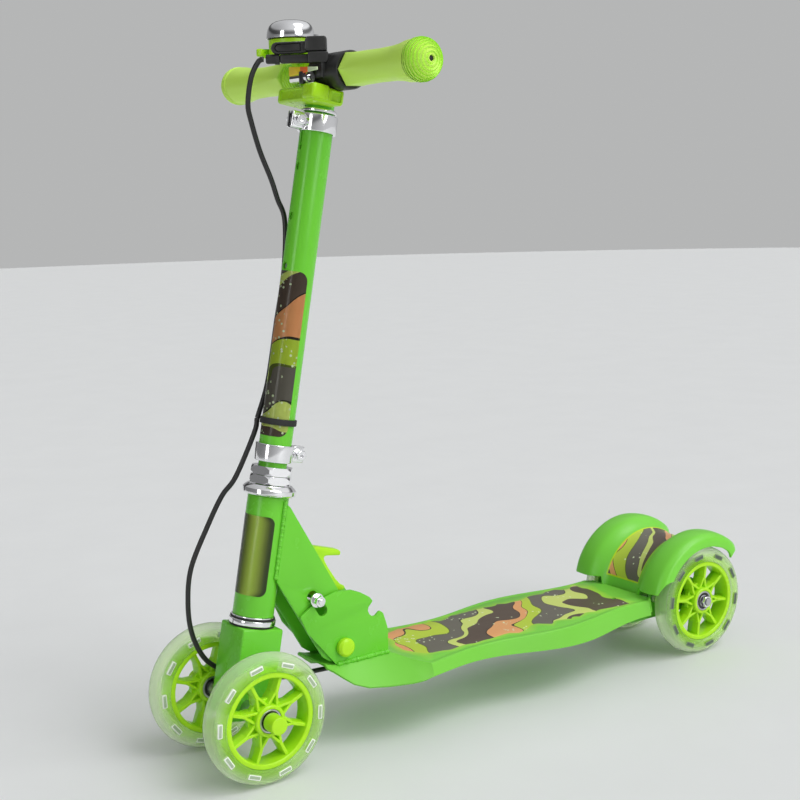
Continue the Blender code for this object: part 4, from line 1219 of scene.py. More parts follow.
@dataclass
class Wheel:
    """A spoked core in a clear tyre, on two bearings."""

    corner: str
    x: float
    y: float
    phase: float
    lights: LightPieces
    light_phase: float
    spokes: int = 8
    light_count: int = 10
    light_radius: float = 50.6
    fork_radius: float = 27.0
    foot_radius: float = 14.0
    tread: tuple[tuple[float, float], ...] = (
        (44.0, 10.6), (44.6, 11.3), (45.8, 11.6), (46.1, 11.1), (50.0, 11.3), (54.0, 10.7), (54.3, 11.0),
        (55.3, 10.6), (56.9, 9.0), (57.1, 8.5), (57.6, 8.4),
        (58.8, 6.0), (59.6, 3.0), (59.75, 0.5), (60.0, 0.3),
    )

    @property
    def body(self) -> str:
        """Return the name of the wheel's body."""
        return self.corner + "_wheel"

    def build(self) -> None:
        """Make the tyre, its light pieces, the core and the bearings."""
        place = at((self.x, self.y, AXLE_HEIGHT), SIDE)
        tyre = turned(mirrored(list(self.tread)), place, 120, ring=True)
        piece(self.corner + "_clear_tyre", tyre, CLEAR, self.body, self.corner + "_tyre")
        frames, faces = self.lights.value
        self.cast_in("light_frames", (2.5, 6.7), (8.6, 11.45), frames, place)
        self.cast_in("light_pieces", (1.75, 5.95), (9.6, 11.6), faces, place)
        core = self.core()
        core.transform(place)
        piece(self.corner + "_spoked_core", core, LIME, self.body, self.corner + "_core")
        self.bearings(place)

    def cast_in(
        self, name: str, half: tuple[float, float], span: tuple[float, float], finish: Finish, place: Matrix
    ) -> None:
        """Cast a ring of rounded bars near the left face of the tyre.

        Args:
            name: what the bars are.
            half: their half size towards the hub and around it.
            span: how far from the middle plane they start and end.
            finish: their surface.
            place: the wheel's place.
        """
        deep, wide = half
        low = (self.light_radius - deep, -wide, span[0])
        bar = block(low, (self.light_radius + deep, wide, span[1]), ORIGIN, 0.9)
        phase = math.radians(self.light_phase)
        ring = grown(bar, repeating_tree(), Count=self.light_count, Phase=phase, Finish=finish.material())
        ring.transform(place)
        piece(f"{self.corner}_{name}", ring, finish, self.body)

    def core(self) -> BMesh:
        """Make the rim, the hub and the branching spokes around the origin.

        Returns:
            The core.
        """
        bend = 180 / self.spokes * 0.86
        feet = [arc(self.foot_radius, side * bend, side * bend, 1)[0] for side in (1, -1)]
        legs = [rib((self.fork_radius, 0), foot, 1.2, 1.9, 7.2) for foot in feet]
        sector = merged(rib((40.5, 0), (25.0, 0), 1.6, 2.6, 7.6), *legs)
        phase = math.radians(self.phase)
        spokes = grown(sector, repeating_tree(), Count=self.spokes, Phase=phase, Finish=LIME.material())
        rim = [(43.7, 10.0), (40.2, 10.3), (39.0, 9.6), (38.5, 5.0)]
        hub = [(11.1, 10.4), (13.4, 10.5), (14.5, 9.6), (15.2, 0.0)]
        web = [(19.0, 2.6), (19.0, -2.6), (14.0, -2.6), (14.0, 2.6)]
        rings = ((mirrored(rim), 0.5, 120), (mirrored(hub), 0.4, 64), (web, 0.5, 64))
        shapes = [turned(filleted(line, edge), ORIGIN, steps, ring=True) for line, edge, steps in rings]
        return merged(spokes, *shapes)

    def bearings(self, place: Matrix) -> None:
        """Make the bearing's races and the dark seal between them.

        Args:
            place: the wheel's place.
        """
        outer = pipe(10.8, 9.1, -10.2, 10.2, place, 0.4, 48)
        races = merged(outer, pipe(6.4, 4.35, -10.3, 10.3, place, 0.4, 48))
        piece(self.corner + "_bearing_races", races, STEEL, self.body, self.corner + "_bearings")
        seals = pipe(9.2, 6.3, -9.7, 9.7, place, 0.2, 48)
        piece(self.corner + "_bearing_seals", seals, BLACK, self.body)


def hex_nut(
    corner: float, bore: float, bottom: float, top: float, place: Matrix, start: float = 0.0
) -> BMesh:
    """Make a six-sided nut with the round chamfer that a turned nut has.

    Args:
        corner: the radius over its corners.
        bore: the radius of its hole.
        bottom: the height of its lower face.
        top: the height of its upper face.
        place: where its axis stands.
        start: the angle of a corner in degrees.

    Returns:
        The closed shape.
    """
    rim, slope, crest = corner + 0.05, 0.12 * corner, 0.9 * corner
    profile = [
        (crest, top), (rim, top - slope), (rim, bottom + slope), (crest, bottom), (bore, bottom), (bore, top)
    ]
    ends = [(0, top + 1), (corner, top + 1), (corner, bottom - 1), (0, bottom - 1)]
    prism = turned(ends, place, 6, start=start)
    return combined(turned(profile, place, 48, ring=True), [prism], "INTERSECT")


@dataclass
class Axles:
    """The two axles with their caps and nuts."""

    cap_mouth: float = 65.2
    cap_floor: float = 74.9
    cap_end: float = 80.0
    nut_foot: float = 65.3
    nut_height: float = 5.0

    def build(self) -> None:
        """Make the caps and the nuts, and dress the rods."""
        dress(STEEL, "front_axle", "rear_axle", "fender_pin")
        outside = [(0, self.cap_end), (8.1, self.cap_end), (8.5, self.cap_mouth)]
        inside = [(6.7, self.cap_mouth), (6.7, self.cap_floor), (0, self.cap_floor)]
        cap = filleted(outside + inside, 1.2, ring=False)
        for side, basis in OUTWARD:
            front = at((0, -HALF_WHEELBASE, AXLE_HEIGHT), basis)
            piece(f"{side}_hub_cap", turned(cap, front, 48), LIME, "steering", f"{side}_axle_cap")
            rear = at((0, HALF_WHEELBASE, AXLE_HEIGHT), basis)
            nut = hex_nut(6.4, 4.45, self.nut_foot, self.nut_foot + self.nut_height, rear)
            piece(f"{side}_rear_nut", nut, CHROME, "deck", f"{side}_axle_nut")


@dataclass
class Column:
    """The steered column: truck, headset, upright and its clamps."""

    truck_half: float = 21.0
    truck_top: float = -3.4
    truck_bottom: float = -88.0
    head_radius: float = 19.0
    race_bore: float = 13.6
    nut_corner: float = 21.0
    upright_radius: float = 15.0
    hole_depths: tuple[float, ...] = (326.3, 371.4, 416.6)
    slit_depth: float = 434.0

    def build(self) -> None:
        """Make every piece of the column."""
        self.truck()
        self.headset()
        self.upright()
        self.clamp("lower", 148.5, 1)
        self.clamp("top", 448.5, -1)

    def truck(self) -> None:
        """Make the truck's housing with the steerer tube."""
        low = (-self.truck_half, -20.2, self.truck_bottom)
        housing = block(low, (self.truck_half, 22.0, self.truck_top), STEM, 1.9)
        bore = disc(4.6, -40, 40, at((0, -HALF_WHEELBASE, AXLE_HEIGHT), SIDE), 0)
        hollow = block((-18, -17.2, self.truck_bottom - 5), (18, 19, self.truck_top - 3), STEM, 0)
        steerer = pipe(13.2, 11.0, self.truck_top - 1, 200.0, STEM)
        piece("truck_housing", merged(cut(housing, hollow, bore), steerer), POWDER, "steering", "front_truck")

    def headset(self) -> None:
        """Make the head tube, its label, its bearing seats and the two nuts."""
        shell = pipe(self.head_radius, 16.5, 6.5, 117.0, STEM, 0.6)
        piece("head_tube_shell", shell, POWDER, "neck", "head_tube")
        # The label's colour carries a painted highlight across its width.
        label = curved_sheet(STEM, self.head_radius, (-176.0, -3.0), (26.0, 99.0), 7.0)
        piece("head_tube_label", label, LABEL, "neck")
        bore = self.race_bore
        lower = [(20.2, 3.7), (21.5, 3.0), (21.5, -1.2), (20.6, -1.9), (bore, -1.9), (bore, 3.7)]
        ring = turned(filleted(lower, 0.5), STEM, ring=True)
        piece("lower_race_ring", ring, CHROME, "neck", "lower_bearing")
        # The upper black ring is a seal. The lower one, between the race and the truck, is a dark ring put in
        # the shadow gap there: a painted shadow.
        seals = merged(pipe(20.7, bore, 3.8, 5.0, STEM, 0.3), pipe(20.9, bore, -3.1, -2.0, STEM, 0.3))
        piece("lower_race_seal_and_shadow_ring", seals, RUBBER, "neck")
        piece("head_tube_lip", pipe(19.9, 17.0, 5.1, 6.4, STEM, 0.4), CHROME, "neck")
        upper = [
            (20.5, 127.3), (23.0, 125.4), (24.9, 123.4), (25.0, 119.6), (23.6, 118.0), (20.5, 117.3),
            (bore, 117.3), (bore, 127.3),
        ]
        cup = turned(filleted(upper, 0.8), STEM, ring=True)
        piece("upper_race_cup", cup, CHROME, "neck", "upper_bearing")
        for name, foot in (("adjusting", 128.0), ("lock", 136.2)):
            nut = hex_nut(self.nut_corner, 13.7, foot, foot + 7.8, STEM, -37.0)
            piece(f"{name}_hex_nut", nut, CHROME, "steering", f"{name}_nut")

    def upright(self) -> None:
        """Make the upright with its height holes and slit, its sticker and its band."""
        tube = pipe(self.upright_radius, 13.5, 149.0, 465.0, STEM, 0.5, 96)
        forward = turn(90, "X")
        tools = [disc(3.5, 6, 22, STEM @ at((0, 0, d), forward), 0) for d in self.hole_depths]
        tools.append(block((-1.2, -20, self.slit_depth), (1.2, -6, 475), STEM, 0))
        tools.append(disc(2.6, 6, 22, STEM @ at((0, 0, self.slit_depth), forward), 0))
        piece("upright_with_holes", cut(tube, *tools), POWDER, "steering", "upright_tube")
        sheet = curved_sheet(STEM, self.upright_radius, (-188.0, 8.0), (172.0, 322.0), 9.0, 0.12)
        piece("upright_sticker", sheet, STICKER, "steering")
        band = pipe(16.9, 15.2, 182.4, 188.2, STEM, 0.7)
        piece("cable_band_loop", band, RUBBER, "steering", "cable_band")

    def clamp(self, name: str, depth: float, side: int) -> None:
        """Make a split clamp and its socket bolt.

        Args:
            name: which clamp it is.
            depth: the height of its lower edge along the stem.
            side: 1 for ears toward the rear, -1 for the front.
        """
        top = depth + 16.0
        ring = pipe(17.9, 15.3, depth, top, STEM, 0.8, 96)
        low, high = sorted((side * 16.2, side * 29.5))
        ears = block((-4.6, low, depth + 0.4), (4.6, high, top - 0.4), STEM, 1.4)
        low, high = sorted((side * 10.0, side * 35.0))
        slot = block((-1.4, low, depth - 3), (1.4, high, top + 3), STEM, 0)
        piece(f"{name}_clamp_band", cut(join(ring, ears), slot), CHROME, "steering", f"{name}_clamp")
        place = STEM @ at((0, side * 23.2, depth + 8.0), SIDE)
        washer = pipe(5.6, 2.5, 4.9, 6.3, place)
        socket = turned([(0, 13), (2.3, 13), (2.3, 8.2), (0, 8.2)], place, 6)
        head = cut(disc(4.7, 6.3, 11.2, place, 0.7), socket)
        shank = disc(2.3, -9.6, 7.0, place)
        bolt = merged(washer, head, shank, hex_nut(5.1, 2.2, -8.8, -4.9, place))
        piece(f"{name}_clamp_socket_bolt", bolt, CHROME, "steering", f"{name}_clamp_bolt")


@dataclass
class FoldJoint:
    """The neck, the fold plates on the deck, the pivot and the lock."""

    cheek_middle: float = 22.65
    side_middle: float = 18.5
    bolt_room: float = 5.3
    locked: float = 45.4
    raised: float = 58.9
    rim: tuple[tuple[float, float], ...] = (
        (60.1, -51), (56.8, -37), (55.3, -22), (55.1, -7), (54.2, 11), (52.9, 23), (52.3, 36),
        (51.1, 42.5), (43.6, 42), (40.6, 44.5), (39.4, 50), (40.2, 55.5), (43.0, 58.5),
        (49.8, 57.5), (51.6, 63), (51.0, 75), (51.4, 82),
    )
    lever: tuple[tuple[float, float], ...] = (
        (-6.5, 53.0), (-3.0, 52.0), (3.0, 52.0), (22.0, 50.0), (28.5, 42.0), (33.5, 36.5), (38.0, 35.5),
        (38.5, 38.5), (36.0, 42.5), (34.5, 50.0), (33.8, 66.0), (34.5, 79.0), (50.5, 66.5),
        (53.0, 69.5), (51.5, 73.0), (34.5, 90.5), (30.0, 92.5), (27.5, 89.0), (27.0, 62.0),
        (22.0, 59.5), (6.5, 64.0), (-3.0, 65.8), (-6.5, 62.0),
    )

    def build(self) -> None:
        """Make every piece of the fold joint."""
        self.cheeks()
        self.neck()
        self.lock()
        self.pivot()

    def bearing(self, radius: float, degrees: float) -> tuple[float, float]:
        """Return (y, z) at a radius and a bearing from vertical around the pivot."""
        angle = math.radians(degrees)
        return (PIVOT[1] + radius * math.sin(angle), PIVOT[2] + radius * math.cos(angle))

    def slot(self, low: float, high: float) -> Flat:
        """Draw a slot that is round at both ends for the lock bolt.

        Args:
            low: where the bolt's axis is at the slot's lower end.
            high: where it is at the upper end.

        Returns:
            The closed line.
        """
        room = self.bolt_room
        ends = arc(room, 180, 360, 10, (0, low))[1:-1], arc(room, 0, 180, 10, (0, high))[1:-1]
        return [(-room, low), *ends[0], (room, low), (room, high), *ends[1], (-room, high)]

    def cheeks(self) -> None:
        """Make the two fold plates with their lock notches and weld beads."""
        room = self.bolt_room
        outline = [self.bearing(r, b) for r, b in self.rim]
        outline += [(-121.0, 79.3), (-181.0, 79.6), (-210.6, 115.6)]
        bottom = arc(room, 180, 360, 10, (0, self.locked))[1:-1]
        notch = [(-room, self.locked), *bottom, (room, self.locked), (room, 75), (-room, 75)]
        for side, sign in SIGNS:
            shape = plate([filleted(outline, 2.2)], 2.7, at((sign * self.cheek_middle, 0, 0), SIDE), 0.5)
            slot = plate([notch], 6.0, NECK @ at((0, 0, sign * self.cheek_middle)), 0.01)
            bore = disc(room, -4, 4, at((sign * self.cheek_middle, PIVOT[1], PIVOT[2]), SIDE), 0)
            piece(f"{side}_fold_plate", cut(shape, slot, bore), POWDER, "deck", f"{side}_cheek")
            x = sign * (self.cheek_middle + 1.5)
            line = [Vector(p) * MM for p in ((x, -178.0, 79.7), (x, -122.5, 79.5))]
            piece(f"{side}_weld_bead", bead_along(line, 0.0023, 0.0023), POWDER, "deck")

    def neck(self) -> None:
        """Make the folded-sheet neck."""
        to_neck = NECK.inverted() @ STEM
        low, high = (to_neck @ (Vector((0, 9.0, depth)) * MM) / MM for depth in (40.0, 114.0))
        outline = arc(15.3, -150, -30, 12) + [(18.5, 4), (24.0, 16), (25.5, 24)]
        outline += [(high.x, high.y), (low.x, low.y), (-22.0, 4), (-18.5, -4)]
        lines = [filleted(outline, 2.5), self.slot(self.locked - 6, self.raised + 3), arc(5.3, 0, 345, 23)]
        sides = [plate(lines, 3.0, NECK @ at((0, 0, sign * self.side_middle)), 0.6) for _, sign in SIGNS]
        web = block((22.6, 22, -17.5), (25.4, 148, 17.5), NECK, 0.8)
        sleeve = pipe(8.5, 5.4, -17.5, 17.5, at(PIVOT, SIDE))
        window = block((15, 30.5, -6.5), (30, 94, 6.5), NECK, 2.0)
        channel = cut(cut(join(web, *sides, sleeve), window), disc(19.5, 0, 130, STEM, 0, 72))
        piece("neck_channel", channel, POWDER, "neck", "neck_frame")
        for side, sign in SIGNS:
            line = [STEM @ (Vector((sign * 18.6, 7.6, d)) * MM) for d in (44.0, 113.0)]
            piece(f"{side}_neck_bead", bead_along(line, 0.0021, 0.0020), POWDER, "neck")

    def lock(self) -> None:
        """Make the lock bolt with its nuts and the finger lever."""
        place = at(NECK @ (Vector((0, self.raised, 0)) * MM) / MM, SIDE)
        shank = disc(3.0, -34.8, 34.8, place, 0.6)
        nuts = []
        for basis in (ORIGIN, turn(180, "X")):
            nuts.append(pipe(6.8, 3.0, 24.6, 26.3, place @ basis))
            nuts.append(hex_nut(5.4, 2.9, 26.4, 32.6, place @ basis, 12.0))
        piece("lock_cross_bolt", merged(shank, *nuts), CHROME, "latch", "lock_bolt")
        blade = plate([filleted(list(self.lever), 3.0)], 11.0, NECK, 1.2)
        lever = cut(blade, disc(3.3, -20, 20, place, 0))
        piece("release_finger_lever", lever, LIME, "latch", "release_lever")

    def pivot(self) -> None:
        """Make the push-on caps over the pivot bolt."""
        dress(STEEL, "pivot_bolt")
        cap = [(0, 31.5), (6.6, 31.2), (9.0, 29.0), (9.0, 24.3), (6.7, 24.3), (6.7, 28.8), (0, 28.8)]
        for side, basis in OUTWARD:
            button = turned(filleted(cap, 1.2, ring=False), at(PIVOT, basis), 64)
            piece(f"{side}_pivot_button", button, LIME, "deck", f"{side}_pivot_cap")


@dataclass
class Deck:
    """The pressed deck and the channel behind it."""

    top: float = 71.5
    front: float = -193.0
    rear: float = 212.0
    thickness: float = 2.0
    nose_half: float = 24.5
    swell: tuple[float, float, float] = (56.5, 6.5, 205.0)
    body_start: float = -96.0
    body_step: float = 5.0
    body_steps: int = 60
    bracket: tuple[tuple[float, float], ...] = (
        (182, 52), (182, 69.0), (214, 69.0), (217, 75), (230, 80), (284, 80), (293, 70), (293, 54),
        (286, 46), (190, 46),
    )

    def half_width(self, y: float) -> float:
        """Return the half width of the flat top, which swells and waists."""
        middle, depth, length = self.swell
        return middle + depth * math.cos(2 * math.pi * (y + 126) / length)

    def flank_bottom(self, y: float) -> float:
        """Return the height of the flank's lower edge, which falls and then rises."""
        fall, rise = (min(max(share, 0.0), 1.0) for share in ((y + 80) / 200, (y - 110) / 102))
        return 59.5 - 8.5 * (3 * fall**2 - 2 * fall**3) + 5.0 * (3 * rise**2 - 2 * rise**3)

    def stations(self) -> list[tuple[float, ...]]:
        """Lay out the sections from the nose to the tail.

        Returns:
            For each section y, half top, top z, half bottom and bottom z.
        """
        half = self.nose_half
        nose = [
            (self.front, half, 82.0, 26.5, 79.8), (-187.0, half, 80.0, 30.0, 75.5),
            (-180.0, half, 79.0, 35.0, 69.5), (-171.0, half, 79.0, 40.0, 62.5),
            (-158.0, half, 79.0, 46.0, 58.0), (-140.0, half, 79.0, 54.0, 57.5),
            (-121.0, half, 79.0, 63.0, 58.5), (-114.0, 36.0, 76.6, 65.4, 59.2),
            (-108.0, 44.0, 74.0, 66.5, 59.5),
        ]
        body = []
        for i in range(self.body_steps + 1):
            y = self.body_start + self.body_step * i
            body.append((y, self.half_width(y), self.top, self.half_width(y) + 4, self.flank_bottom(y)))
        tail = [
            (208.0, 47.4, self.top, 50.6, self.flank_bottom(208.0) + 0.6),
            (self.rear, 46.0, self.top, 49.0, self.flank_bottom(self.rear) + 1),
        ]
        return nose + body + tail

    def section(self, half_top: float, top: float, half_bottom: float, bottom: float) -> Flat:
        """Draw one side's line from the flank's edge to the middle of the top.

        Args:
            half_top: the half width of the flat top.
            top: its height.
            half_bottom: the half width over the flanks.
            bottom: the height of their edge.

        Returns:
            The line, with a shallow groove along the top's edge.
        """
        groove = [(half_top - 5.0, top), (half_top - 5.8, top - 0.45), (half_top - 6.6, top)]
        line = [(half_bottom, bottom), (half_top + 0.2, top - 0.9), (half_top - 1.0, top), *groove]
        return [line[0], *filleted(line, 2.0, False, 4, 181.0)[1:], (half_top * 0.5, top), (0.0, top)]

    def build(self) -> None:
        """Make the deck's skin and the axle channel."""
        rows = []
        for y, *sizes in self.stations():
            right = self.section(*sizes)
            rows.append([Vector((x, y, z)) for x, z in right + [(-x, z) for x, z in reversed(right[:-1])]])
        hole = disc(2.8, 60.0, 80.0, at((21.0, 181.0, 0.0)), 0)
        pressing = cut(skinned(rows, self.thickness), hole)
        piece("deck_pressing", pressing, DECK_PRINT, "deck", "deck_plate")
        pin = arc(2.8, 0, 340, 17, (223.0, 68.0))
        bore = arc(4.4, 0, 345, 23, (HALF_WHEELBASE, AXLE_HEIGHT))
        lines = [filleted(list(self.bracket), 3.0), pin, bore]
        sides = [plate(lines, 2.5, at((sign * 38.75, 0, 0), SIDE), 0.5) for _, sign in SIGNS]
        web = block((-38, 182, 66.6), (38, 211.5, 69.0), ORIGIN, 0.8)
        sleeve = pipe(8.0, 4.4, -38, 38, at((0, HALF_WHEELBASE, AXLE_HEIGHT), SIDE))
        piece("axle_channel", merged(web, *sides, sleeve), DARK_POWDER, "deck", "rear_bracket")


@dataclass
class Fender:
    """The moulded fender over the rear wheels, and its pads."""

    thickness: float = 2.75
    steps: int = 56
    crown_start: float = 27.0
    curl_angle: float = 9.0
    curl_depth: float = 4.0
    half: tuple[tuple[float, float], ...] = (
        (0, 62.5), (17, 63.5), (26, 66.5), (34, 72.5), (41, 76.2), (51, 77.0), (62, 75.6), (68.0, 71.5),
    )
    skirt: tuple[tuple[float, float], ...] = ((68.6, 70.0), (69.2, 67.0), (69.4, 61.8))

    def outline(self) -> Flat:
        """Draw the outer section from the right skirt to the left one.

        Returns:
            The dense line as (x, radius about the axle).
        """
        crown = smooth_route([Vector((x, r, 0)) for x, r in self.half], 2.0)
        right = [(p.x, p.y) for p in crown] + list(self.skirt)
        return [(-x, r) for x, r in reversed(right[1:])] + right

    def tail(self, x: float) -> float:
        """Place the rear end, which rounds off towards each crown's sides.

        Args:
            x: how far across the line is.

        Returns:
            The end's angle about the axle in degrees.
        """
        if abs(x) < self.crown_start:
            return 50.0
        return 40.0 + 12.0 * min(abs(abs(x) - 50.0) / 22.0, 1.0) ** 3

    def nose(self, x: float, radius: float) -> float:
        """Place the front end, which is cut at a height above the deck's flank.

        Args:
            x: how far across the line is.
            radius: how far it is from the axle.

        Returns:
            The end's angle about the axle in degrees.
        """
        if abs(x) < 29:
            return 175.0 - 5.0 * (abs(x) / 29) ** 2
        height = 19.6 + max(0.0, abs(x) - 64.0) * 2.4
        return 180.0 - math.degrees(math.asin(min(height / radius, 1.0)))

    def column(self, x: float, radius: float) -> list[Vector]:
        """Lay the places of one line over the wheel, from the rear end to the front.

        Args:
            x: where the line is across.
            radius: how far it is from the axle, except where the rear end curls in.

        Returns:
            The places in millimetres.
        """
        first, last = self.tail(x), self.nose(x, radius)
        places = []
        for i in range(self.steps + 1):
            angle = math.radians(first + (last - first) * i / self.steps)
            past = (angle - math.radians(first)) / math.radians(self.curl_angle)
            curl = max(0.0, 1 - past) if abs(x) > self.crown_start else 0.0
            reach = radius - self.curl_depth * curl**2
            places.append(Vector((
                x, HALF_WHEELBASE + reach * math.cos(angle), AXLE_HEIGHT + reach * math.sin(angle)
            )))
        return places

    def build(self) -> None:
        """Make the fender's shell with its lugs, and the pads."""
        shell = skinned([self.column(x, radius) for x, radius in self.outline()], self.thickness, 0.9)
        lugs = [block((x - 4, 215.2, 63.0), (x + 4, 228, 73.0), ORIGIN, 1.0) for x in (-16, 16)]
        piece("moulded_fender", merged(shell, *lugs), FENDER_PLASTIC, "fender", "rear_fender")
        dress(RUBBER, "brake_pad_bar")


@dataclass
class Handlebar:
    """The sliding tube, the joint, the bar, the grips, the lever and the bell."""

    inner_radius: float = 13.2
    bar_radius: float = 11.0
    bar_room: float = 11.3
    half_bar: float = 158.0
    grip_rings: int = 8
    lever_pivot: tuple[float, float, float] = (21.0, -176.0, 642.0)
    lever_heading: float = -125.3

    def build(self) -> None:
        """Make every piece of the handlebar."""
        self.tubes()
        self.joint()
        self.grips()
        self.perch()
        self.lever()
        self.bell()
        self.tag()

    def bar_bore(self) -> BMesh:
        """Return the room that a fitting leaves for the bar."""
        return disc(self.bar_room, -60, 60, BAR, 0, 64)

    def tubes(self) -> None:
        """Make the sliding tube with its bead, and the bar."""
        tube = pipe(self.inner_radius, 11.4, 292.0, 482.5, STEM, 0.4)
        hole = disc(3.5, 4, 20, STEM @ at((0, 0, 326.3), turn(90, "X")), 0)
        piece("sliding_tube", cut(tube, hole), POWDER, "handlebar", "inner_tube")
        piece("sliding_tube_collar", pipe(16.2, 12.0, 466.2, 469.6, STEM, 1.0), CHROME, "handlebar")
        bar = pipe(self.bar_radius, 9.4, -self.half_bar, self.half_bar, BAR)
        piece("cross_bar", bar, CHROME, "handlebar", "handlebar_tube")
        dress(STEEL, "snap_button")

    def joint(self) -> None:
        """Make the moulded joint between the sliding tube and the bar."""
        base = block((-32, -27, 472), (32, 5, 486), STEM, 3.0)
        panels = [
            block((-27, -40, 474.5), (12, -25.2, 483.6), STEM, 1.2),
            block((29.8, -9, 474.5), (40, 2, 483.6), STEM, 1.2),
        ]
        base = join(cut(base, *panels), block((15, -30, 473.5), (34, -12, 487), STEM, 2.6))
        base = cut(base, disc(17.3, 1.7, 60, BAR, 0, 64), disc(14.7, -60, -21.1, BAR, 0, 64))
        saddle = disc(14.8, -21.0, 1.4, BAR, 0.6, 64)
        base = join(base, saddle, block((-20, -12, 480), (1, 4, 500), STEM, 1.5))
        base = cut(base, disc(13.5, 460, 483, STEM, 0, 72), self.bar_bore())
        piece("bar_joint", base, LIME, "handlebar", "t_joint")

    def grip_profile(self) -> Flat:
        """Draw the grip's section, with rings over its domed end and a drain hole.

        Returns:
            The closed line as (radius, distance from the middle of the bar).
        """
        body = [
            (17.3, 139.0), (15.6, 129.0), (14.5, 117.0), (14.1, 96.0), (14.4, 80.0), (14.8, 68.0),
            (15.2, 58.0), (15.5, 54.0), (15.4, 52.2), (14.6, 51.5), (11.4, 51.5), (11.4, 159.2), (2.4, 159.2),
        ]
        rings = []
        for k in range(self.grip_rings + 1):
            angle = math.radians(-18 + 94 * k / self.grip_rings)
            outer, height = 18.4 * math.cos(angle) ** 0.8, 152.0 + 14.4 * math.sin(angle)
            rings += [(outer, height + 1.0), (outer, height - 0.1), (outer - 1.2, height - 0.6)]
        dome = [ring for ring in rings[::-1] if ring[0] > 3.8]
        return [(2.4, 166.0), (2.8, 166.9), (3.6, 167.0), *dome, *body]

    def grips(self) -> None:
        """Make the two grips, and a black disc in each drain hole as painted shade."""
        for side, basis in OUTWARD:
            place = at(BAR_CENTRE, basis)
            shape = turned(self.grip_profile(), ORIGIN, 72, ring=True)
            for vert in shape.verts:
                self.facet(vert)
            shape.transform(place)
            piece(f"{side}_ringed_grip", shape, LIME_SOFT, "handlebar", f"{side}_grip", sharp=50)
            # A black disc fills the drain hole so that it reads dark: painted shade.
            piece(f"{side}_grip_hole_painted_shade", disc(2.45, 159.4, 165.4, place, 0.2, 32), RUBBER, "handlebar")

    def facet(self, vert: BMVert) -> None:
        """Press six flats in the grip around its inner end.

        Args:
            vert: one of the grip's corners, about the bar's axis.
        """
        radius = math.hypot(vert.co.x, vert.co.y)
        share = min(max((72.0 * MM - vert.co.z) / (14.0 * MM), 0.0), 1.0)
        if radius < 12.5 * MM or share == 0.0:
            return
        bearing = math.degrees(math.atan2(vert.co.y, vert.co.x)) % 60 - 30
        flat = 0.90 / math.cos(math.radians(bearing))
        factor = 1 + (flat * 1.02 - 1) * share
        vert.co.x *= factor
        vert.co.y *= factor

    def reach(self) -> Matrix:
        """Return the place of the lever's pin, with X along the lever."""
        return at(self.lever_pivot, turn(self.lever_heading, "Z"))

    def perch(self) -> None:
        """Make the lever's perch, its bolt, the pin and the cable adjuster."""
        collar = [
            (15.8, 2.0), (17.0, 3.0), (17.0, 30.0), (16.2, 31.5), (16.2, 33.0), (17.0, 34.0), (17.0, 49.0),
            (16.0, 50.5), (11.3, 50.5), (11.3, 2.0),
        ]
        parts = [
            block((8.7, -178.4, 618.6), (30.1, -166.0, 635.0), ORIGIN, 1.5),
            block((-9, -9, -10), (9, 9, -0.4), self.reach(), 1.2),
            block((0, -4.5, -9.5), (34, 4.5, -2.0), self.reach(), 1.8),
            block((7.6, -189, 614.8), (14, -171, 625.6), ORIGIN, 1.0),
        ]
        perch = cut(join(turned(collar, BAR, 72, ring=True), *parts), self.bar_bore())
        piece("lever_perch", perch, BLACK, "handlebar", "brake_perch")
        dress(CHROME, "perch_bolt", "lever_pin")
        dress(BLACK, "barrel_adjuster")

    def lever(self) -> None:
        """Make the brake lever and its lining."""
        place = self.reach() @ turn(90, "X")
        head = [(-7.8, 0.2), (-7.8, 12.0), (-6.0, 13.0), (9.0, 13.0), (11.0, 10.4), (12.0, 2.0), (9.5, 0.2)]
        tip = arc(5.1, 85, -85, 8, (36.2, 3.5))
        blade = [(4, 9.4), (36, 8.6), *tip, (36, -1.6), (14, -1.2), (9, -0.2), (4, 0.4)]
        pad = [(15, 7.6), (33.5, 7.0), *arc(3.4, 80, -80, 8, (34.6, 3.5)), (33.5, 0.0), (15, 0.4)]
        socket = plate([filleted(head, 1.6)], 15.0, place, 1.6)
        arm = plate([filleted(blade, 1.0)], 10.4, place, 1.4)
        groove = plate([filleted(pad, 0.8)], 8.0, place @ at((0, 0, -7.0)), 0.6)
        piece("hand_brake_lever", cut(join(socket, arm), groove), BLACK, "hand_lever", "brake_lever")
        inner = filleted([(x * 0.96 + 0.9, z * 0.90 + 0.5) for x, z in pad], 0.6)
        piece("lever_lining", plate([inner], 1.0, place @ at((0, 0, -3.6)), 0.3), BLACK, "hand_lever")

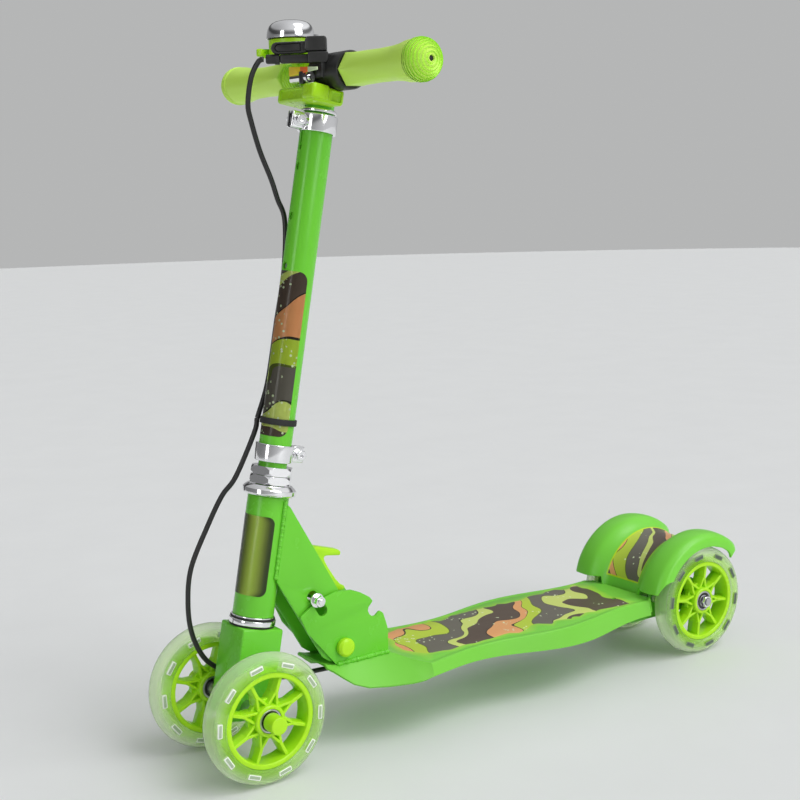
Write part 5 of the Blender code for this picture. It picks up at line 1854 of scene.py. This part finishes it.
    def bell(self) -> None:
        """Make the bell's base, its ribbed clamp, its dome and its thumb tab."""
        place = at(BELL_CENTRE)
        profile = [
            (0, 16.6), (18.6, 16.6), (20.2, 15.6), (20.2, 9.2), (19.6, 8.6), (20.2, 8.0), (20.2, 2.0),
            (17.0, 0.0), (0, 0.0),
        ]
        ribs = [(11.3, -50.5), (12.4, -50.5)]
        for k in range(6):
            foot, outer = -50.0 + 4.75 * k, 13.0 + 0.28 * k
            ribs += [(outer - 0.9, foot), (outer, foot + 0.9), (outer, foot + 3.0), (outer - 0.9, foot + 3.9)]
        band = turned(ribs + [(14.0, -21.4), (11.3, -21.4)], BAR, 72, ring=True)
        stalk = block((-33, -172, 628), (-21.6, -152, 643), ORIGIN, 1.2)
        base = join(turned(filleted(profile, 0.6, ring=False), place), band, stalk)
        piece("bell_mount", cut(base, self.bar_bore()), LIME, "handlebar", "bell_base")
        dome = [
            (0, 33.5), (5, 33.4), (10, 32.8), (14, 31.8), (17.2, 30.2), (19.4, 27.9), (20.7, 25.2),
            (21.4, 22.2), (21.8, 19.4), (22.0, 17.6), (21.9, 16.9), (20.6, 16.9), (20.3, 18.0), (19.9, 21.0),
            (18.6, 25.8), (14.8, 29.6), (8.4, 31.3), (0, 31.7),
        ]
        piece("bell_cover", turned(dome, place, 96), CHROME, "handlebar", "bell_dome")
        piece("bell_rim_seal", pipe(21.2, 19.0, 16.5, 16.95, place, 0.15), BLACK, "handlebar")
        striker = at((-44.5, -191.5, 643.0), turn(35, "Z"))
        tab = merged(block((-3, -14.0, -1.0), (3, 0, 6.0), striker, 1.4), disc(3.6, -1.4, 6.4, striker))
        piece("bell_thumb_tab", tab, LIME, "bell_tab", "bell_striker")

    def tag(self) -> None:
        """Make the small plain tag on the lever's perch, in three tones."""
        place = at((0, -187.6, 0), turn(-90, "X"))
        parts = ((-10.0, 9.5, YELLOW_TAG), (9.5, 22.0, RED_TAG), (22.0, 37.0, PALE_TAG))
        for number, (start, stop, finish) in enumerate(parts):
            (a, low_a, high_a), (b, low_b, high_b) = (
                (x, 622.8 + 2.2 * (x + 10.0) / 47.0, 631.0 - 3.4 * (x + 10.0) / 47.0) for x in (start, stop)
            )
            outline = filleted([(a, -low_a), (b, -low_b), (b, -high_b), (a, -high_a)], 0.4)
            piece(f"perch_tag_{number}", plate([outline], 1.4, place, 0.3), finish, "handlebar")


@dataclass
class BrakeCable:
    """The brake cable, from the hand lever to the rear channel."""

    radius: float = 2.4

    def build(self) -> None:
        """Make the three stretches, each laid along a fixed route between the bodies that it joins."""
        bar = [
            (-6.9, -215.4, 636.5), (-9.6, -218.9, 635.2), (-17.0, -223.0, 621.8), (-25.0, -223.0, 599.0),
            (-27.5, -219.0, 583.7), (-28.0, -211.0, 557.4), (-26.0, -201.7, 532.3), (-24.0, -196.9, 514.1),
            (-21.5, -191.5, 493.9), (-20.5, -195.0, 450.0), (-20.0, -206.0, 400.0), (-19.6, -213.5, 365.0),
            (-18.5, -220.2, 341.5), (-15.8, -231.0, 319.0), (-15.5, -232.5, 316.2),
        ]
        stem = [
            (-15.5, -232.5, 316.2), (-15.0, -236.5, 303.0), (-19.0, -255.5, 264.0), (-23.0, -268.5, 247.3),
            (-25.0, -283.8, 220.5), (-26.0, -301.5, 185.0), (-27.0, -306.0, 153.8), (-28.0, -303.8, 125.5),
            (-28.0, -295.0, 101.8), (-28.0, -282.6, 87.3), (-27.0, -262.0, 75.0), (-26.0, -245.0, 69.0),
            (-26.0, -226.3, 63.5), (-27.0, -206.5, 59.0), (-27.4, -185.6, 57.6),
        ]
        deck = [
            (-27.4, -185.6, 57.6), (-26.6, -175.0, 57.7), (-23.5, -155.0, 58.2), (-18.0, -120.0, 61.0),
            (-14.0, -60.0, 64.0), (-14.0, 20.0, 64.0), (-14.0, 100.0, 63.0), (-14.0, 170.0, 61.0),
            (-14.0, 215.0, 58.0), (-14.0, 244.0, 60.0),
        ]
        for name, route, node, body, mate, start, end in (
            ("cable_at_bar", bar, "bar_cable", "handlebar", "steering", bar[1], bar[-2]),
            ("cable_at_stem", stem, "stem_cable", "steering", "neck", (-26.0, -245.0, 66.0), stem[-1]),
            ("cable_under_deck", deck, "deck_cable", "deck", "neck", deck[3], deck[0]),
        ):
            mesh = mesh_of(name, rod(route, self.radius))
            mesh.materials.append(CABLE_BLACK.material())
            mesh.shade_smooth()
            obj = linked(name, mesh)
            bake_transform(obj)
            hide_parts(node)
            LOG.info("%s from %s to %s", name, body, mate)


# The set


@dataclass(frozen=True)
class Lamp:
    """A soft light that is aimed at a place, in metres."""

    name: str
    kind: str
    place: tuple[float, float, float]
    target: tuple[float, float, float]
    size: tuple[float, float]
    power: float

    def build(self) -> Object:
        """Make the lamp.

        Returns:
            Its object.
        """
        data = bpy.data.lights.new(self.name, self.kind)
        data.energy = self.power
        if self.kind == "SUN":
            data.angle = self.size[0]
        else:
            data.shape = "RECTANGLE"
            data.size, data.size_y = self.size
        lamp = linked(self.name, data)
        lamp.location = self.place
        direction = Vector(self.target) - Vector(self.place)
        lamp.rotation_euler = direction.to_track_quat("-Z", "Y").to_euler()
        return lamp


@dataclass
class Studio:
    """The pale floor, the backdrop, the soft lights and the camera."""

    wall: float = 0.78
    exposure: float = -0.75
    floor_radius: float = 9.0
    lens: float = 62.44
    lean: tuple[float, float] = (0.34, 0.40)
    sky: tuple[tuple[float, float], ...] = (
        (0.0, 0.62), (0.25, 0.60), (0.31, 0.15), (0.40, 0.20), (0.52, 1.0), (1.0, 1.05),
    )

    def build(self) -> None:
        """Make the whole set."""
        bpy.context.scene.view_settings.view_transform = "Standard"
        bpy.context.scene.view_settings.exposure = self.exposure
        self.camera()
        self.floor()
        self.surroundings()
        Lamp("sun", "SUN", (1.1, 0.7, 2.0), (0, 0, 0), (0.6, 0.0), 1.7).build()
        Lamp("fill", "SUN", (3.6, 0.7, 2.0), (0, 0, 0.3), (0.6, 0.0), 1.5).build()
        strip = Lamp("strip", "AREA", (0.62, -2.35, 0.95), (0, -0.2, 0.35), (0.55, 1.5), 16.0).build()
        strip.visible_diffuse = False

    def camera(self) -> None:
        """Place the camera at the photograph's angle."""
        data = bpy.data.cameras.new("camera")
        data.lens = self.lens
        data.sensor_width = 36.0
        data.clip_end = 50.0
        right = Vector((0.57942, 0.81461, -0.02602))
        up = Vector((-0.11086, 0.11040, 0.98769))
        back = Vector((0.80745, -0.56940, 0.15428))
        basis = Matrix((right, up, back)).transposed().to_4x4()
        camera = linked("camera", data)
        camera.matrix_world = Matrix.Translation((1.08582, -0.84841, 0.52539)) @ basis
        bpy.context.scene.camera = camera

    def floor(self) -> None:
        """Make a round floor."""
        floor = bmesh.new()
        bmesh.ops.create_circle(floor, cap_ends=True, segments=96, radius=self.floor_radius)
        mesh = mesh_of("floor", floor)
        mesh.materials.append(PALE_FLOOR.material())
        linked("floor", mesh)

    def surroundings(self) -> None:
        """Grade the world from a grey horizon to a bright ceiling, brighter on the scooter's left."""
        world = bpy.data.worlds.new("surroundings")
        bpy.context.scene.world = world
        world.use_nodes = True
        wires = Wiring(world.node_tree)
        x, y, z = wires.parts(wires.add("ShaderNodeTexCoord").outputs["Generated"])
        grey = wires.ramp(z, [(place, (value, value * 1.01, value * 1.02)) for place, value in self.sky])
        lean = wires.calc("MULTIPLY_ADD", x, self.lean[0], 1.0)
        lean = wires.calc("MULTIPLY_ADD", y, self.lean[1], lean)
        seen = wires.add("ShaderNodeLightPath").outputs["Is Camera Ray"]
        even = wires.calc("SUBTRACT", 1.0, lean)
        wires.feed(world.node_tree.nodes["Background"], {
            "Color": wires.mixed(seen, grey, (self.wall, self.wall * 1.01, self.wall * 1.01, 1.0)),
            "Strength": wires.calc("MULTIPLY_ADD", even, seen, lean),
        })


def wheels() -> list[Wheel]:
    """Lay out the wheels.

    Returns:
        The four wheels.
    """
    pale, dark = LightPieces.PALE, LightPieces.DARK
    return [
        Wheel("front_left", 54.0, -HALF_WHEELBASE, 25.0, pale, -4.0),
        Wheel("front_right", -54.0, -HALF_WHEELBASE, 25.0, pale, 2.0),
        Wheel("rear_left", 54.5, HALF_WHEELBASE, 36.0, dark, -8.0),
        Wheel("rear_right", -54.5, HALF_WHEELBASE, 36.0, dark, 2.0),
    ]


def main() -> None:
    """Build the scooter's sub-assemblies in order, and then the set around it."""
    logging.basicConfig(level=logging.INFO, format="%(name)s %(message)s")
    scooter = [*wheels(), Axles(), Column(), FoldJoint(), Deck(), Fender(), Handlebar(), BrakeCable()]
    for sub_assembly in (*scooter, Studio()):
        sub_assembly.build()
        LOG.info("%s is built", type(sub_assembly).__name__)


if __name__ == "__main__":
    main()
